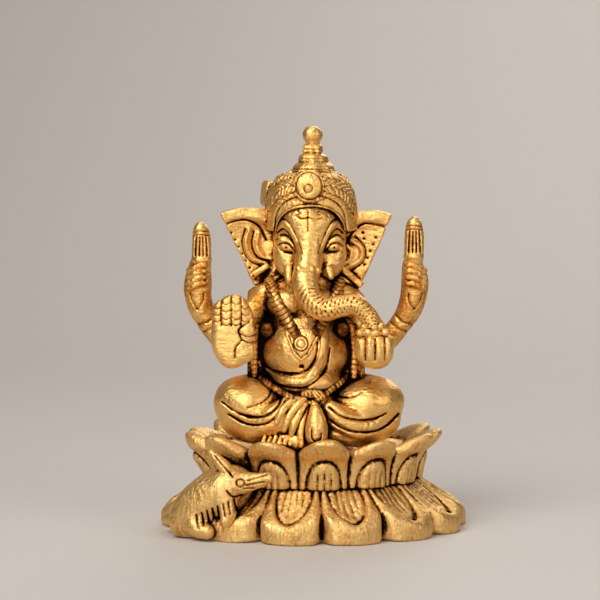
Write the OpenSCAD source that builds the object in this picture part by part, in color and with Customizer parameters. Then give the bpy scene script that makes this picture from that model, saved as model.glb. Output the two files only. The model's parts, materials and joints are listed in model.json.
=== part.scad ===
// Seated elephant-headed deity on a two-tier lotus throne with a mouse at its foot.
// Cast brass pieces, pegged together and bolted down through the throne.
// Millimetres. +Z is up, the figure faces -Y, and the origin is on the floor under the middle of the base.
// "Right" and "left" are the figure's own right and left: its right side is on -X.

/* [Throne] */
// Width of the lower lotus, across its widest petals
base_w = 77; // [76:0.5:80]
// Depth of the lower lotus, front to back
base_d = 66; // [65:0.5:69]
// Height of the seam between the two lotus tiers
seam_z = 12; // [11.5:0.25:12.5]
// Wall thickness of the hollow lower lotus
base_wall = 3.5; // [3:0.25:4]
// Petals round the lower tier
lower_petals = 14; // [12:2:16]
// Petals round the upper tier
upper_petals = 13; // [12:1:14]

/* [Figure] */
// Height of the seat floor, on which the figure sits
seat_z = 20; // [19.75:0.25:20.25]
// Largest radius of the belly
belly_r = 11.2; // [10.8:0.1:11.6]
// Radius of the head across the temples
head_r = 9.6; // [9.3:0.1:9.8]
// Height of the top of the finial, the overall height
statue_h = 100; // [99:0.5:101]

/* [Fastening] */
// Thread diameter of the bolt that holds the figure on its throne
bolt_d = 4; // [3:1:5]
// Length of the bolt under its head
bolt_l = 16; // [15:1:16]
// Radius of the pegs on the arms, neck and crown
peg_r = 2.2; // [1.8:0.1:2.4]

/* [Hidden] */

brass = "goldenrod";
shadow_brass = "darkgoldenrod";
pale_brass = "khaki";
steel = "silver";

$fn = 40;
link_fn = 12;     // facets of the balls that the cast limbs are blended from
egg_fn = 14;      // facets of the ellipsoids
fit = 0.05;       // clearance between neighbouring castings

// places of the main pieces
hips_at = [-1.5, -3, seat_z];
hips_top = 35.5;
torso_at = [-2.4, -5.5, 0];
belly_z = 45;
chest_z = 55.5;
neck_z = 62;
neck_r = 4.6;
head_at = [-1.3, -3.5, 0];
head_z = 72;
crown_at = [-0.9, -3, 77.6];
crown_tilt = 8;
crown_r = 10.1;
spire_z = 89.4;
spire_at = [-0.4, -1.5, 0];
finial_r = 2.4;
neck_peg_l = 4;

tip_r = base_w / 2;
lower_turn = 260;   // direction of one lower petal, in degrees from +X
upper_turn = 275;   // direction of one upper petal

// bolt and washer
washer_t = 0.8;
washer_r = 4.5;
head_across = bolt_d * 1.75;
head_t = bolt_d * 0.7;
bolt_seat_z = seam_z - base_wall;

// ---------------------------------------------------------------- helpers

// A ball given as [x, y, z, radius]
module ball(p) {
    translate([p[0], p[1], p[2]]) sphere(r = p[3], $fn = link_fn);
}

// A rounded limb through a chain of balls
module limb(path) {
    for (i = [0:len(path) - 2])
        hull() {
            ball(path[i]);
            ball(path[i + 1]);
        }
}

// An ellipsoid, blended so that it keeps its place in a cast limb
module egg(centre, radii) {
    translate(centre) hull() scale(radii) sphere(r = 1, $fn = egg_fn);
}

// A closed skin over rings of points, capped flat at both ends
module loft(rings) {
    n = len(rings[0]);
    m = len(rings);
    sides = [
        for (k = [0:m - 2], j = [0:n - 1])
            let (a = k * n + j, b = k * n + (j + 1) % n)
                each [[a, a + n, b + n], [a, b + n, b]]
    ];
    first = [for (j = [0:n - 1]) j];
    last = [for (j = [n - 1:-1:0]) (m - 1) * n + j];
    polyhedron([for (ring = rings) each ring], concat([first], sides, [last]));
}

// 1 at the tip of a petal and 0 in the groove beside it
function petal_swell(a, first, count) = pow(abs(cos((a - first) * count / 2)), 0.6);

// One ring of a lotus tier: radius and height at the petal tips, then in the grooves
function lotus_ring(level, first, count) = [
    for (j = [0:count * 8 - 1])
        let (a = first + j * 45 / count, s = petal_swell(a, first, count))
        let (r = level[2] + (level[0] - level[2]) * s, z = level[3] + (level[1] - level[3]) * s)
            [r * cos(a), r * sin(a) * base_d / base_w, z]
];

// ---------------------------------------------------------------- throne

module lower_lotus_form() {
    levels = [
        [tip_r * 0.66, seam_z, tip_r * 0.66, seam_z],
        [tip_r * 0.70, seam_z - 0.8, tip_r * 0.67, seam_z - 1.2],
        [tip_r * 0.84, 8.2, tip_r * 0.76, 7.6],
        [tip_r * 0.955, 5.6, tip_r * 0.84, 5.2],
        [tip_r * 0.995, 4.2, tip_r * 0.875, 4],
        [tip_r, 0, tip_r * 0.90, 0],
        [tip_r * 0.91, 0, tip_r * 0.82, 0],
        [tip_r * 0.86, 3, tip_r * 0.77, 3],
        [tip_r * 0.58, bolt_seat_z, tip_r * 0.58, bolt_seat_z]
    ];
    loft([for (level = levels) lotus_ring(level, lower_turn, lower_petals)]);
}

module lower_lotus() {
    color(brass)
        difference() {
            lower_lotus_form();
            translate([0, 0, bolt_seat_z - 1]) cylinder(r = bolt_d / 2 + 0.2, h = base_wall + 2);
        }
}

module upper_lotus_form() {
    levels = [
        [22.5, seat_z, 22.5, seat_z],
        [28.6, seat_z + 0.8, 26.8, seat_z + 0.5],
        [31.2, seat_z + 4, 29, seat_z + 1.8],
        [32.9, seat_z + 3.6, 30.2, seat_z + 1.4],
        [31.8, seat_z + 1.2, 28.8, seat_z - 0.6],
        [29.6, seam_z + 4.6, 26.6, seam_z + 4],
        [27.2, seam_z + 1.4, 25, seam_z + 1.2],
        [25, seam_z, 25, seam_z]
    ];
    loft([for (level = levels) lotus_ring(level, upper_turn, upper_petals)]);
}

module upper_lotus() {
    color(brass)
        difference() {
            upper_lotus_form();
            translate([0, 0, seam_z - 1]) cylinder(r = bolt_d / 2 + 0.2, h = seat_z - seam_z + 2);
        }
}

module base_bolt() {
    color(steel) {
        translate([0, 0, bolt_seat_z - washer_t]) cylinder(r = bolt_d / 2, h = bolt_l);
        translate([0, 0, bolt_seat_z - washer_t - head_t])
            cylinder(d = head_across / cos(30), h = head_t, $fn = 6);
    }
}

module bolt_washer() {
    color(steel)
        translate([0, 0, bolt_seat_z - washer_t])
            difference() {
                cylinder(r = washer_r, h = washer_t);
                translate([0, 0, -1]) cylinder(r = bolt_d / 2 + 0.15, h = washer_t + 2);
            }
}

// The smooth outer shape of both tiers over their petal tips, which the mouse is fitted to
module throne_envelope() {
    scale([1, base_d / base_w, 1])
        rotate_extrude()
            polygon([
                [0, 0], [tip_r, 0], [tip_r, 4.2], [tip_r * 0.96, 5.6], [tip_r * 0.84, 8.2], [tip_r * 0.7, 11.2],
                [25.4, seam_z], [27.2, 13.4], [29.6, 16.6], [31.8, 21.2], [32.9, 23.6], [0, 24]
            ]);
}

// The mouse climbs the front right of the throne, its snout towards the middle
module mouse() {
    color(brass)
        difference() {
            union() {
                limb([[-29.8, -20, 5.8, 3.9], [-25.4, -22, 9.4, 4.2], [-20.8, -24, 12.2, 3.7],
                      [-16.4, -25.6, 14, 2.8], [-10.9, -27.4, 15.4, 1.2]]);
                limb([[-27, -15, 7, 4], [-21, -18, 11, 4], [-16, -21, 13, 3.5]]);
                limb([[-20.6, -22.5, 14.4, 2], [-22.3, -21.4, 19.6, 0.8]]);
                limb([[-28, -23, 6.6, 2.6], [-28.9, -25.2, 2.4, 1.4], [-26, -26.6, 1.4, 1.1]]);
                limb([[-20.6, -26, 10, 2], [-18, -28.6, 6.4, 1.2]]);
                limb([[-31, -19, 4.8, 2], [-34.8, -16, 3.8, 1.2], [-37.4, -13, 3.4, 0.7]]);
            }
            throne_envelope();
        }
}

// ---------------------------------------------------------------- legs

module hips_form() {
    translate(hips_at)
        rotate_extrude()
            polygon(concat(
                [[0, 0], [11.6, 0]],
                [for (a = [-40:20:60]) [8 + 5.4 * cos(a), 7 + 6 * sin(a)]],
                [[8.4, hips_top - seat_z], [0, hips_top - seat_z]]
            ));
}

module hips() {
    color(shadow_brass)
        difference() {
            hips_form();
            translate([0, 0, seat_z - 1]) cylinder(r = bolt_d / 2, h = 6.5);
            torso_peg(fit);
        }
}

module right_leg_form() {
    limb([[-8, -2, 29.5, 7.2], [-13.5, -5, 30.8, 7.8], [-18, -8, 31, 7]]);
    limb([[-18, -8, 31, 7], [-15, -14, 29.6, 6.4], [-10.5, -17, 29.6, 5.8], [-6.4, -18, 30.2, 4.6]]);
    egg([-16.6, -11, 30.6], [8, 7.6, 8]);
    egg([-11, -13, 31.4], [9, 6.6, 6.6]);
    egg([-20.4, -7.6, 33.2], [4.6, 6, 5]);
}

module left_leg_form() {
    limb([[5, -2, 29, 7.2], [10.5, -5, 30.2, 7.8], [15.6, -8, 30.6, 7]]);
    limb([[15.6, -8, 30.6, 7], [12.6, -14, 29.2, 6.4], [8.4, -17, 29.4, 5.8], [5, -18, 30, 4.4]]);
    egg([14.4, -11, 30.2], [8, 7.6, 8]);
    egg([9, -13, 31], [9, 6.6, 6.6]);
    egg([18.2, -7.6, 32.4], [4.6, 6, 5]);
}

// What the legs are fitted round
module leg_neighbours() {
    hips_form();
    torso_form(fit);
    upper_lotus_form();
    translate([-50, -50, 0]) cube([100, 100, seat_z + 0.02]);
}

module right_leg() {
    color(brass)
        difference() {
            right_leg_form();
            leg_neighbours();
        }
}

module left_leg() {
    color(brass)
        difference() {
            left_leg_form();
            leg_neighbours();
        }
}

// The right foot lies under the left shin, and its toes point forward
module right_foot_form() {
    egg([-5.6, -21, 24.4], [4.6, 3.2, 3]);
    for (i = [0:4])
        limb([[-9.6 + i * 1.5, -22.6, 25.2 - i * 0.25, 0.9], [-9.9 + i * 1.5, -24.6, 24.4 - i * 0.25, 0.8]]);
}

// The left foot hangs sole forward in the middle, with its drape
module left_foot_form() {
    egg([0.1, -22, 28.2], [3.6, 2.6, 5.6]);
    egg([0.2, -23, 25.4], [3, 2.2, 3]);
    limb([[-1.4, -20.6, 33, 1.6], [-0.6, -22, 30, 2.4]]);
}

module right_foot() {
    color(brass)
        difference() {
            right_foot_form();
            right_leg_form();
            left_leg_form();
            left_foot_form();
            leg_neighbours();
        }
}

module left_foot() {
    color(brass)
        difference() {
            left_foot_form();
            right_leg_form();
            left_leg_form();
            leg_neighbours();
        }
}

// ---------------------------------------------------------------- torso

function torso_profile(grow) = concat(
    [[0, hips_top], [8.4 + grow, hips_top]],
    [for (a = [-50:8:30]) [(belly_r + grow) * cos(a), belly_z + (belly_r + grow) * sin(a)]],
    [for (a = [-16:8:56]) [(9.9 + grow) * cos(a), chest_z + (7.6 + grow) * sin(a)]],
    [[neck_r + grow, neck_z], [0, neck_z]]
);

// Radius of the torso at a height, from the points of its outline
function torso_r(z) = lookup(z, [for (p = torso_profile(0)) if (p[0] > 0) [p[1], p[0]]]);

// A point on the torso's skin, given as an angle from the front and a height
function on_torso(turn, z, r) = [
    torso_at[0] + torso_r(z) * sin(turn), torso_at[1] - torso_r(z) * cos(turn), z, r
];

module torso_form(grow) {
    translate(torso_at) rotate_extrude() polygon(torso_profile(grow));
}

module torso_peg(grow) {
    translate([torso_at[0], torso_at[1], hips_top - neck_peg_l - grow])
        cylinder(r = peg_r * 1.6 + grow, h = neck_peg_l + grow + 0.5);
}

module arm_peg(side, y, z, grow) {
    translate([torso_at[0] + side * 5, y, z])
        rotate([0, side * 90, 0]) cylinder(r = peg_r + grow, h = 6);
}

module torso() {
    color(brass)
        difference() {
            union() {
                torso_form(0);
                torso_peg(0);
            }
            neck_peg(fit);
            for (side = [-1, 1]) {
                arm_peg(side, rear_arm_y, rear_arm_z, fit);
                arm_peg(side, front_arm_y, front_arm_z, fit);
            }
        }
}

// A belt of three cords round the waist, with a round boss over the lap
module waist_belt() {
    color(shadow_brass)
        difference() {
            union() {
                translate([torso_at[0], torso_at[1], hips_top + 1.4])
                    rotate_extrude() translate([9.2, 0]) circle(r = 1.3);
                translate([torso_at[0] + 1, torso_at[1] - 9, hips_top + 1.2])
                    rotate([90, 0, 0]) cylinder(r = 1.7, h = 2.2);
            }
            torso_form(0);
            hips_form();
        }
}

// The sacred thread falls from the left shoulder, under the belly's right, and round it
module sacred_thread() {
    path = [
        for (t = [0:0.1:1])
            on_torso(42 - 92 * t, 58.5 - 19.5 * t + 4 * sin(180 * t) - 6 * t * (1 - t), 0.75)
    ];
    color(shadow_brass)
        difference() {
            limb(path);
            torso_form(0);
        }
}

// A twisted rope of flowers from shoulder to shoulder, with the pendant at its lowest point
module garland() {
    path = [
        for (t = [-1:0.125:1])
            on_torso(62 * t, 49.6 + 11.2 * pow(abs(t), 1.25), 1.25)
    ];
    color(shadow_brass)
        difference() {
            limb(path);
            torso_form(0);
            pendant_form(fit);
        }
}

module pendant_form(grow) {
    translate([torso_at[0] - 0.4, torso_at[1] - belly_r * 0.9, 48])
        rotate([97, 0, 0]) cylinder(r = 2.7 + grow, h = 2.2 + grow);
}

module pendant() {
    color(pale_brass)
        difference() {
            pendant_form(0);
            torso_form(0);
        }
}

// ---------------------------------------------------------------- head

module head_ball(grow) {
    translate(head_at)
        rotate_extrude()
            polygon(concat(
                [[0, neck_z], [neck_r + grow, neck_z]],
                [for (a = [-66:6:90]) [(head_r + grow) * cos(a), head_z + (head_r + grow) * sin(a)]]
            ));
}

module head_form(grow) {
    difference() {
        head_ball(grow);
        crown_frame() translate([-20, -20, 0]) cube([40, 40, 20]);
    }
}

module neck_peg(grow) {
    translate([head_at[0], head_at[1], neck_z - neck_peg_l - grow])
        cylinder(r = peg_r + grow, h = neck_peg_l + grow + 0.5);
}

module ear_peg(side, grow) {
    translate([head_at[0] + side * 6.5, head_at[1] + 1, head_z])
        rotate([0, side * 90, 0]) cylinder(r = 1.2 + grow, h = 4.5);
}

module head() {
    color(brass)
        difference() {
            union() {
                head_form(0);
                neck_peg(0);
            }
            crown_peg(fit);
            for (side = [-1, 1]) ear_peg(side, fit);
        }
}

// The trunk comes down between the tusks and curls over the left hand to the sweets
trunk_path = [
    [-1.4, -10, 71, 4.2], [-1.6, -12.6, 67.2, 4.1], [-2.4, -15.4, 62.6, 3.5], [-1.6, -18, 58.2, 3.2],
    [2.2, -19.6, 56, 2.7], [6.7, -20.4, 56.8, 2.3], [10.2, -20.8, 57.1, 2.2], [12.9, -21.2, 55.2, 2.1],
    [14.3, -21.6, 52.6, 1.9]
];

module trunk_form() {
    limb(trunk_path);
}

module trunk() {
    color(brass)
        difference() {
            trunk_form();
            head_form(fit);
            torso_form(fit);
            modak_form();
        }
}

module tusk(root, tip) {
    color(pale_brass)
        difference() {
            hull() {
                ball([root[0], root[1], root[2], 1.3]);
                ball([tip[0], tip[1], tip[2], 0.8]);
            }
            head_form(fit);
        }
}

module right_tusk() {
    tusk([-6.2, -10.6, 65.4], [-6.9, -14.6, 61.6]);
}

// The left tusk is the broken one: a short stub
module left_tusk() {
    tusk([4, -10.6, 65.6], [4.7, -12.8, 63.6]);
}

// An ear is a fan from the temple, spread wide at the top and narrow at the bottom
module ear(side, corners) {
    color(brass)
        difference() {
            union() {
                hull()
                    for (c = corners)
                        ball([c[0], c[1], c[2], 1]);
                ear_peg(side, 0);
            }
            difference() {
                head_form(fit);
                ear_peg(side, 0);
            }
        }
}

module right_ear() {
    ear(-1, [[-9.6, -3, 75.4], [-14, -2.6, 76.6], [-21.9, -3.6, 77], [-18.8, -4, 69.4], [-13, -3.6, 61.6],
             [-9.4, -3, 66]]);
}

module left_ear() {
    ear(1, [[7, -3, 75.4], [11, -2.6, 76.6], [18, -3.6, 76.6], [15, -4, 69], [9.6, -3.6, 60.4],
            [7, -3, 66]]);
}

// ---------------------------------------------------------------- crown

module crown_frame() {
    translate(crown_at) rotate([-crown_tilt, 0, 0]) children();
}

crown_h = 10.5;

module crown_form() {
    crown_frame()
        rotate_extrude()
            polygon(concat(
                [[0, 0], [crown_r - 0.3, 0], [crown_r, 0.6], [crown_r, 2]],
                [for (a = [6:8:70]) [(crown_r - 0.2) * pow(cos(a), 0.75), 2 + 9 * sin(a)]],
                [[0, crown_h]]
            ));
}

module crown_peg(grow) {
    crown_frame() translate([0, 0, -3.5 - grow]) cylinder(r = peg_r * 1.4 + grow, h = 4 + grow);
}

module crown() {
    color(brass)
        difference() {
            union() {
                crown_form();
                crown_peg(0);
            }
            spire_form(0);
            medallion_form(fit);
        }
}

module medallion_form(grow) {
    crown_frame()
        translate([0, -7.4, 7])
            rotate([75, 0, 0]) cylinder(r = 3 + grow, h = 2.6 + grow);
}

module crown_medallion() {
    color(pale_brass) medallion_form(0);
}

// Three shrinking tiers, each a torus moulding on a neck
module spire_form(grow) {
    tiers = [[5.1, 1.5], [4.1, 4.2], [3.2, 6.4]];
    translate([spire_at[0], spire_at[1], spire_z - 2.6])
        rotate_extrude()
            union() {
                square([4.2 + grow, 2.6]);
                square([2.4, 8.2]);
                for (tier = tiers)
                    translate([0, tier[1]]) square([tier[0] - 1, 2]);
                for (tier = tiers)
                    translate([tier[0] - 1, tier[1] + 1]) circle(r = 1);
            }
}

module crown_spire() {
    color(brass) spire_form(0);
}

module crown_finial() {
    stem_z = spire_z + 5.6;
    color(pale_brass)
        translate([spire_at[0], spire_at[1], 0]) {
            translate([0, 0, statue_h - finial_r]) sphere(r = finial_r);
            translate([0, 0, stem_z]) cylinder(r = 1.3, h = statue_h - finial_r - stem_z);
        }
}

// A plain disc of light behind the crown
module halo_disc() {
    color(shadow_brass)
        difference() {
            translate([crown_at[0], 7.4, 79.4]) rotate([90, 0, 0]) cylinder(r = 11.6, h = 1.8);
            crown_form();
            head_ball(fit);
        }
}

// ---------------------------------------------------------------- arms

rear_arm_y = 0.5;
rear_arm_z = 56.5;
front_arm_y = -5;
front_arm_z = 57.5;

module right_rear_arm_form() {
    limb([[-11.5, 0.5, 56.4, 3.6], [-16, 2.5, 48.6, 3.5], [-21.8, 3, 42.4, 3.3], [-26.4, 3, 45, 3.4],
          [-28.8, 2.6, 49.6, 3.5], [-30.4, 2.4, 56.3, 3.1], [-29.9, 2, 61, 3.3], [-28.7, 1.6, 65, 2.8]]);
    for (i = [0:2])
        limb([[-31.4 + 0.5 * i, -0.4, 60 + 1.9 * i, 1.1], [-28.2 + 0.5 * i, -1.4, 60 + 1.9 * i, 1.1]]);
}

module left_rear_arm_form() {
    limb([[8, 0.5, 56.4, 3.6], [12.6, 2.5, 48.8, 3.5], [18, 3, 42.8, 3.3], [22, 3, 45.6, 3.4],
          [24.4, 2.6, 50.4, 3.5], [26.2, 2.4, 56.6, 3.1], [25.8, 2, 61.4, 3.3], [24.9, 1.6, 65.6, 2.8]]);
    for (i = [0:2])
        limb([[27.3 - 0.5 * i, -0.4, 60.6 + 1.9 * i, 1.1], [24.2 - 0.5 * i, -1.4, 60.6 + 1.9 * i, 1.1]]);
}

// What the arms are fitted round
module arm_neighbours() {
    difference() {
        torso_form(fit);
        for (side = [-1, 1]) {
            arm_peg(side, rear_arm_y, rear_arm_z, 0);
            arm_peg(side, front_arm_y, front_arm_z, 0);
        }
    }
    head_form(fit);
    hips_form();
}

module right_rear_arm() {
    color(brass)
        difference() {
            union() {
                right_rear_arm_form();
                arm_peg(-1, rear_arm_y, rear_arm_z, 0);
            }
            arm_neighbours();
            right_ear();
            right_leg_form();
        }
}

module left_rear_arm() {
    color(brass)
        difference() {
            union() {
                left_rear_arm_form();
                arm_peg(1, rear_arm_y, rear_arm_z, 0);
            }
            arm_neighbours();
            left_ear();
            left_leg_form();
        }
}

// A fluted upright emblem: three ribs under a rounded tip
module emblem(base, tip) {
    for (i = [-1:1])
        limb([[base[0] + i * 1.55, base[1] - 0.6, base[2], 1],
              [base[0] * 0.15 + tip[0] * 0.85 + i * 1.3, tip[1] - 0.6, tip[2] - 3.4, 0.9]]);
    limb([[base[0], base[1] + 0.6, base[2], 1.9], [tip[0], tip[1] + 0.4, tip[2] - 3.4, 1.8],
          [tip[0], tip[1], tip[2] - 1.6, 1.6]]);
    egg([tip[0], tip[1], tip[2] - 2], [2, 1.7, 2]);
    egg([tip[0], tip[1], tip[2] - 3.8], [2.3, 1.8, 1.2]);
    egg([base[0], base[1], base[2] + 0.6], [2.5, 1.9, 1.4]);
}

module right_held_emblem() {
    color(brass)
        difference() {
            emblem([-28.2, 1, 67], [-28.2, 1, 76]);
            right_rear_arm_form();
        }
}

module left_held_emblem() {
    color(brass)
        difference() {
            emblem([24.9, 1, 67.6], [25.4, 1, 77.4]);
            left_rear_arm_form();
        }
}

module right_front_arm_form() {
    limb([[-12, -5.5, 57.4, 3.9], [-17, -7, 51, 3.8], [-19.6, -9.5, 45.6, 3.8], [-19.4, -17, 44.6, 3.4]]);
    egg([-19.3, -20.4, 49], [5.4, 2.7, 7.4]);
    for (i = [0:3])
        limb([[-22.7 + i * 2.3, -20.6, 52, 1.25], [-22.4 + i * 2.1, -20.8, 59.2 - abs(i - 1.4) * 1.3, 1.15]]);
    limb([[-15.8, -21.8, 47, 1.6], [-14.9, -22, 51.8, 1.4]]);
}

module left_front_arm_form() {
    limb([[8.6, -5.5, 57.2, 3.9], [13.6, -7, 51, 3.8], [16, -9.5, 45.4, 3.8], [14.6, -17, 44.4, 3.2]]);
    egg([14.2, -20.4, 45.8], [4.6, 3.2, 4.6]);
    for (i = [0:3])
        limb([[10.9 + i * 2.1, -22.6, 43.8, 1.2], [11 + i * 2.1, -22.2, 48.6, 1.15]]);
}

module right_front_arm() {
    color(brass)
        difference() {
            union() {
                right_front_arm_form();
                arm_peg(-1, front_arm_y, front_arm_z, 0);
            }
            arm_neighbours();
            right_rear_arm_form();
            right_ear();
            garland();
            right_leg_form();
        }
}

module left_front_arm() {
    color(brass)
        difference() {
            union() {
                left_front_arm_form();
                arm_peg(1, front_arm_y, front_arm_z, 0);
            }
            arm_neighbours();
            left_rear_arm_form();
            left_ear();
            garland();
            sacred_thread();
            left_leg_form();
        }
}

// Small sweets heaped on the left hand
module modak_form() {
    egg([14, -20.8, 50.2], [3.6, 2.6, 1.6]);
    for (i = [-1:1])
        egg([14 + i * 2.4, -21.6, 50.9], [1.4, 1.5, 1.3]);
    for (i = [-1, 1])
        egg([14 + i * 1.3, -20.4, 52], [1.4, 1.5, 1.3]);
    for (i = [-1, 1])
        egg([14 + i * 1.5, -19.2, 50.9], [1.4, 1.5, 1.3]);
}

module modak() {
    color(pale_brass)
        difference() {
            modak_form();
            left_front_arm_form();
        }
}

// ---------------------------------------------------------------- nodes

lower_lotus();
upper_lotus();
base_bolt();
bolt_washer();
mouse();
hips();
right_leg();
left_leg();
right_foot();
left_foot();
waist_belt();
torso();
sacred_thread();
garland();
pendant();
head();
trunk();
right_tusk();
left_tusk();
right_ear();
left_ear();
crown();
crown_medallion();
crown_spire();
crown_finial();
halo_disc();
right_rear_arm();
left_rear_arm();
right_held_emblem();
left_held_emblem();
right_front_arm();
left_front_arm();
modak();
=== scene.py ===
"""The seated deity in cast and chased brass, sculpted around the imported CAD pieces.

Every casting is a field of signed distances in millimetres, evaluated on a grid and turned into a mesh.
A piece's own coordinates start at the middle of its CAD node's box, on the box's underside.
"""

import json
import math

import bpy
import numpy as np
import openvdb
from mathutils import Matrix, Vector


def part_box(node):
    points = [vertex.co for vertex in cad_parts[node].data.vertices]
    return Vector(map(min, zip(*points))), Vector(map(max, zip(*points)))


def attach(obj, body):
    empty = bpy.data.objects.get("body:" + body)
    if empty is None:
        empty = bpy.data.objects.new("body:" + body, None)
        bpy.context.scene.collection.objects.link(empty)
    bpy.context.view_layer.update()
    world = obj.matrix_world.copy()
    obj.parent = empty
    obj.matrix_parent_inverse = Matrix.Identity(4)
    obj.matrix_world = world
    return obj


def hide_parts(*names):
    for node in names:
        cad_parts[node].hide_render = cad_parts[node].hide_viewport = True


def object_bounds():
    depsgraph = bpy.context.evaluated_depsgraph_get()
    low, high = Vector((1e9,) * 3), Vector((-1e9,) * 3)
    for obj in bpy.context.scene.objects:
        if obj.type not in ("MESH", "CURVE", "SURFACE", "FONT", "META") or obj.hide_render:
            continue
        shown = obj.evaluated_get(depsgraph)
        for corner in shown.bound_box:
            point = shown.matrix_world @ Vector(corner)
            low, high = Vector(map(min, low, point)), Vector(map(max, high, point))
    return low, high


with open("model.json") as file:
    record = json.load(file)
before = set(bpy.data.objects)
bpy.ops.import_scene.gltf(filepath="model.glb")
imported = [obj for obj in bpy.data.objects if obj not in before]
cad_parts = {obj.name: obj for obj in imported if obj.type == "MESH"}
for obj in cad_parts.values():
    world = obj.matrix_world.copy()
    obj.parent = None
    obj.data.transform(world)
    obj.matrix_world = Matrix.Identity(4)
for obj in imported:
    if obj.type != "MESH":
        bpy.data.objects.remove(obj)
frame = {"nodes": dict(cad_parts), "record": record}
cad_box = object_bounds()

MM = 0.001  # one millimetre in metres
LOWER_PETALS = 14
UPPER_PETALS = 13
BOLT_HOLE = 2.2  # radius of the hole for the bolt, mm
FINE = 0.21  # grid spacing on the face and other small detail, mm
MEDIUM = 0.29  # grid spacing on the limbs, mm
COARSE = 0.42  # grid spacing on the throne and large plain pieces, mm
BLOCK = 4  # fine cells along the side of a coarse one
BATCH = 4096  # coarse cells worked out at a time


# ---------------------------------------------------------------- distances

def vec(*xyz):
    return np.array(xyz, np.float32)


def length(v):
    return np.sqrt(np.einsum("ij,ij->i", v, v))


def unit(share):
    """The share, held between 0 and 1."""
    return np.clip(share, 0, 1)


def bell(distance, width, power=2):
    """1 where distance is 0, falling away to both sides within about the width."""
    return np.exp(-((distance / width) ** power))


def join(a, b, blend=0.6):
    """The two shapes together, with a fillet about blend wide between them."""
    h = np.clip(blend - np.abs(a - b), 0, None) / blend
    return np.minimum(a, b) - h * h * blend / 4


def cut(a, b, blend=0.3):
    """The first shape without the second."""
    return -join(-a, b, blend)


def clip_to(a, b, blend=0.3):
    """The part of the first shape that is inside the second."""
    return -join(-a, -b, blend)


def turned(p, centre, turn):
    """The points in axes turned by degrees about X, then Y, then Z round centre."""
    q = p - vec(*centre)
    for axis, degrees in enumerate(turn):
        if degrees:
            c, s = math.cos(math.radians(degrees)), math.sin(math.radians(degrees))
            i, j = (axis + 1) % 3, (axis + 2) % 3
            q = q.copy()
            q[:, i], q[:, j] = c * q[:, i] + s * q[:, j], c * q[:, j] - s * q[:, i]
    return q


def egg(p, centre, radii, turn=(0, 0, 0)):
    q = turned(p, centre, turn)
    r = vec(*radii)
    k0 = length(q / r)
    k1 = length(q / (r * r))
    return k0 * (k0 - 1) / np.maximum(k1, 1e-6)


def slab(p, centre, half, turn=(0, 0, 0), edge=0.3):
    """A box with rounded edges."""
    q = np.abs(turned(p, centre, turn)) - vec(*half) + edge
    return length(np.maximum(q, 0)) + np.minimum(q.max(axis=1), 0) - edge


def disc(p, centre, radius, half, turn=(0, 0, 0), edge=0.3):
    """A flat round plate that lies in its own XY plane."""
    q = turned(p, centre, turn)
    d = np.stack([np.hypot(q[:, 0], q[:, 1]) - radius + edge, np.abs(q[:, 2]) - half + edge], axis=1)
    return length(np.maximum(d, 0)) + np.minimum(d.max(axis=1), 0) - edge


def hoop(p, centre, radius, thick, turn=(0, 0, 0)):
    """A ring in its own XY plane."""
    q = turned(p, centre, turn)
    return np.hypot(np.hypot(q[:, 0], q[:, 1]) - radius, q[:, 2]) - thick


def smooth_path(points, steps=5):
    """Points on a curve through the given ones, with whatever else they carry, such as a radius."""
    pts = np.array(points, np.float32)
    ends = np.vstack([2 * pts[0] - pts[1], pts, 2 * pts[-1] - pts[-2]])
    out = []
    for k in range(len(pts) - 1):
        a, b, c, d = ends[k : k + 4]
        for t in np.arange(steps) / steps:
            out.append(0.5 * (2 * b + (c - a) * t + (2 * a - 5 * b + 4 * c - d) * t * t
                              + (3 * b - a - 3 * c + d) * t ** 3))
    return np.array(out + [pts[-1]], np.float32)


def nearest_on(q, path):
    """Distance from each point to a path, less the path's radius, and how far along it is from 0 to 1."""
    dims = q.shape[1]
    best = np.full(len(q), 1e9, np.float32)
    along = np.zeros(len(q), np.float32)
    n = len(path) - 1
    for k in range(n):
        a, b = path[k], path[k + 1]
        step = b[:dims] - a[:dims]
        t = unit((q - a[:dims]) @ step / max(float(step @ step), 1e-9))
        d = length(q - a[:dims] - t[:, None] * step)
        if len(a) > dims:
            d = d - (a[dims] + t * (b[dims] - a[dims]))
        closer = d < best
        best[closer] = d[closer]
        along[closer] = (k + t[closer]) / n
    return best, along


def limb(p, balls, steps=5):
    """A rounded limb through balls given as (x, y, z, radius)."""
    return nearest_on(p, smooth_path(balls, steps))[0]


def stroke(p, points, axes=(0, 2), steps=5):
    """Distance of each point to a curve drawn in the plane of two axes."""
    return nearest_on(p[:, list(axes)], smooth_path(points, steps))[0]


def wobble(points):
    """The slight unevenness of a hand-finished casting, in millimetres."""
    x, y, z = points.T
    slow = np.sin(0.71 * x + 0.43 * y) * np.sin(0.62 * z - 0.35 * x + 1)
    return (0.11 * slow).astype(np.float32)


# each entry is the ink of a chased line, or painted shade that some pieces lay where shade falls
ink_and_painted_shade = []  # where each line lies, for the points the latest field was asked about


def chase(d, profile, depth, ink=1.0):
    """Cuts a line whose profile is 1 on its middle and 0 beside it, and keeps its ink for the shading."""
    ink_and_painted_shade.append(profile * ink)
    return d + depth * profile


def groove(d, distance, width=0.35, depth=0.4, ink=1.0):
    """Cuts a rounded groove where distance is near 0."""
    return chase(d, bell(distance, width), depth, ink)


# ---------------------------------------------------------------- from fields to meshes

castings = []


def foot(node):
    """The middle of a node's box on its underside, in millimetres, and the box's size."""
    low, high = (np.array(v, np.float32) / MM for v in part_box(node))
    return vec((low[0] + high[0]) / 2, (low[1] + high[1]) / 2, low[2]), high - low


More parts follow.
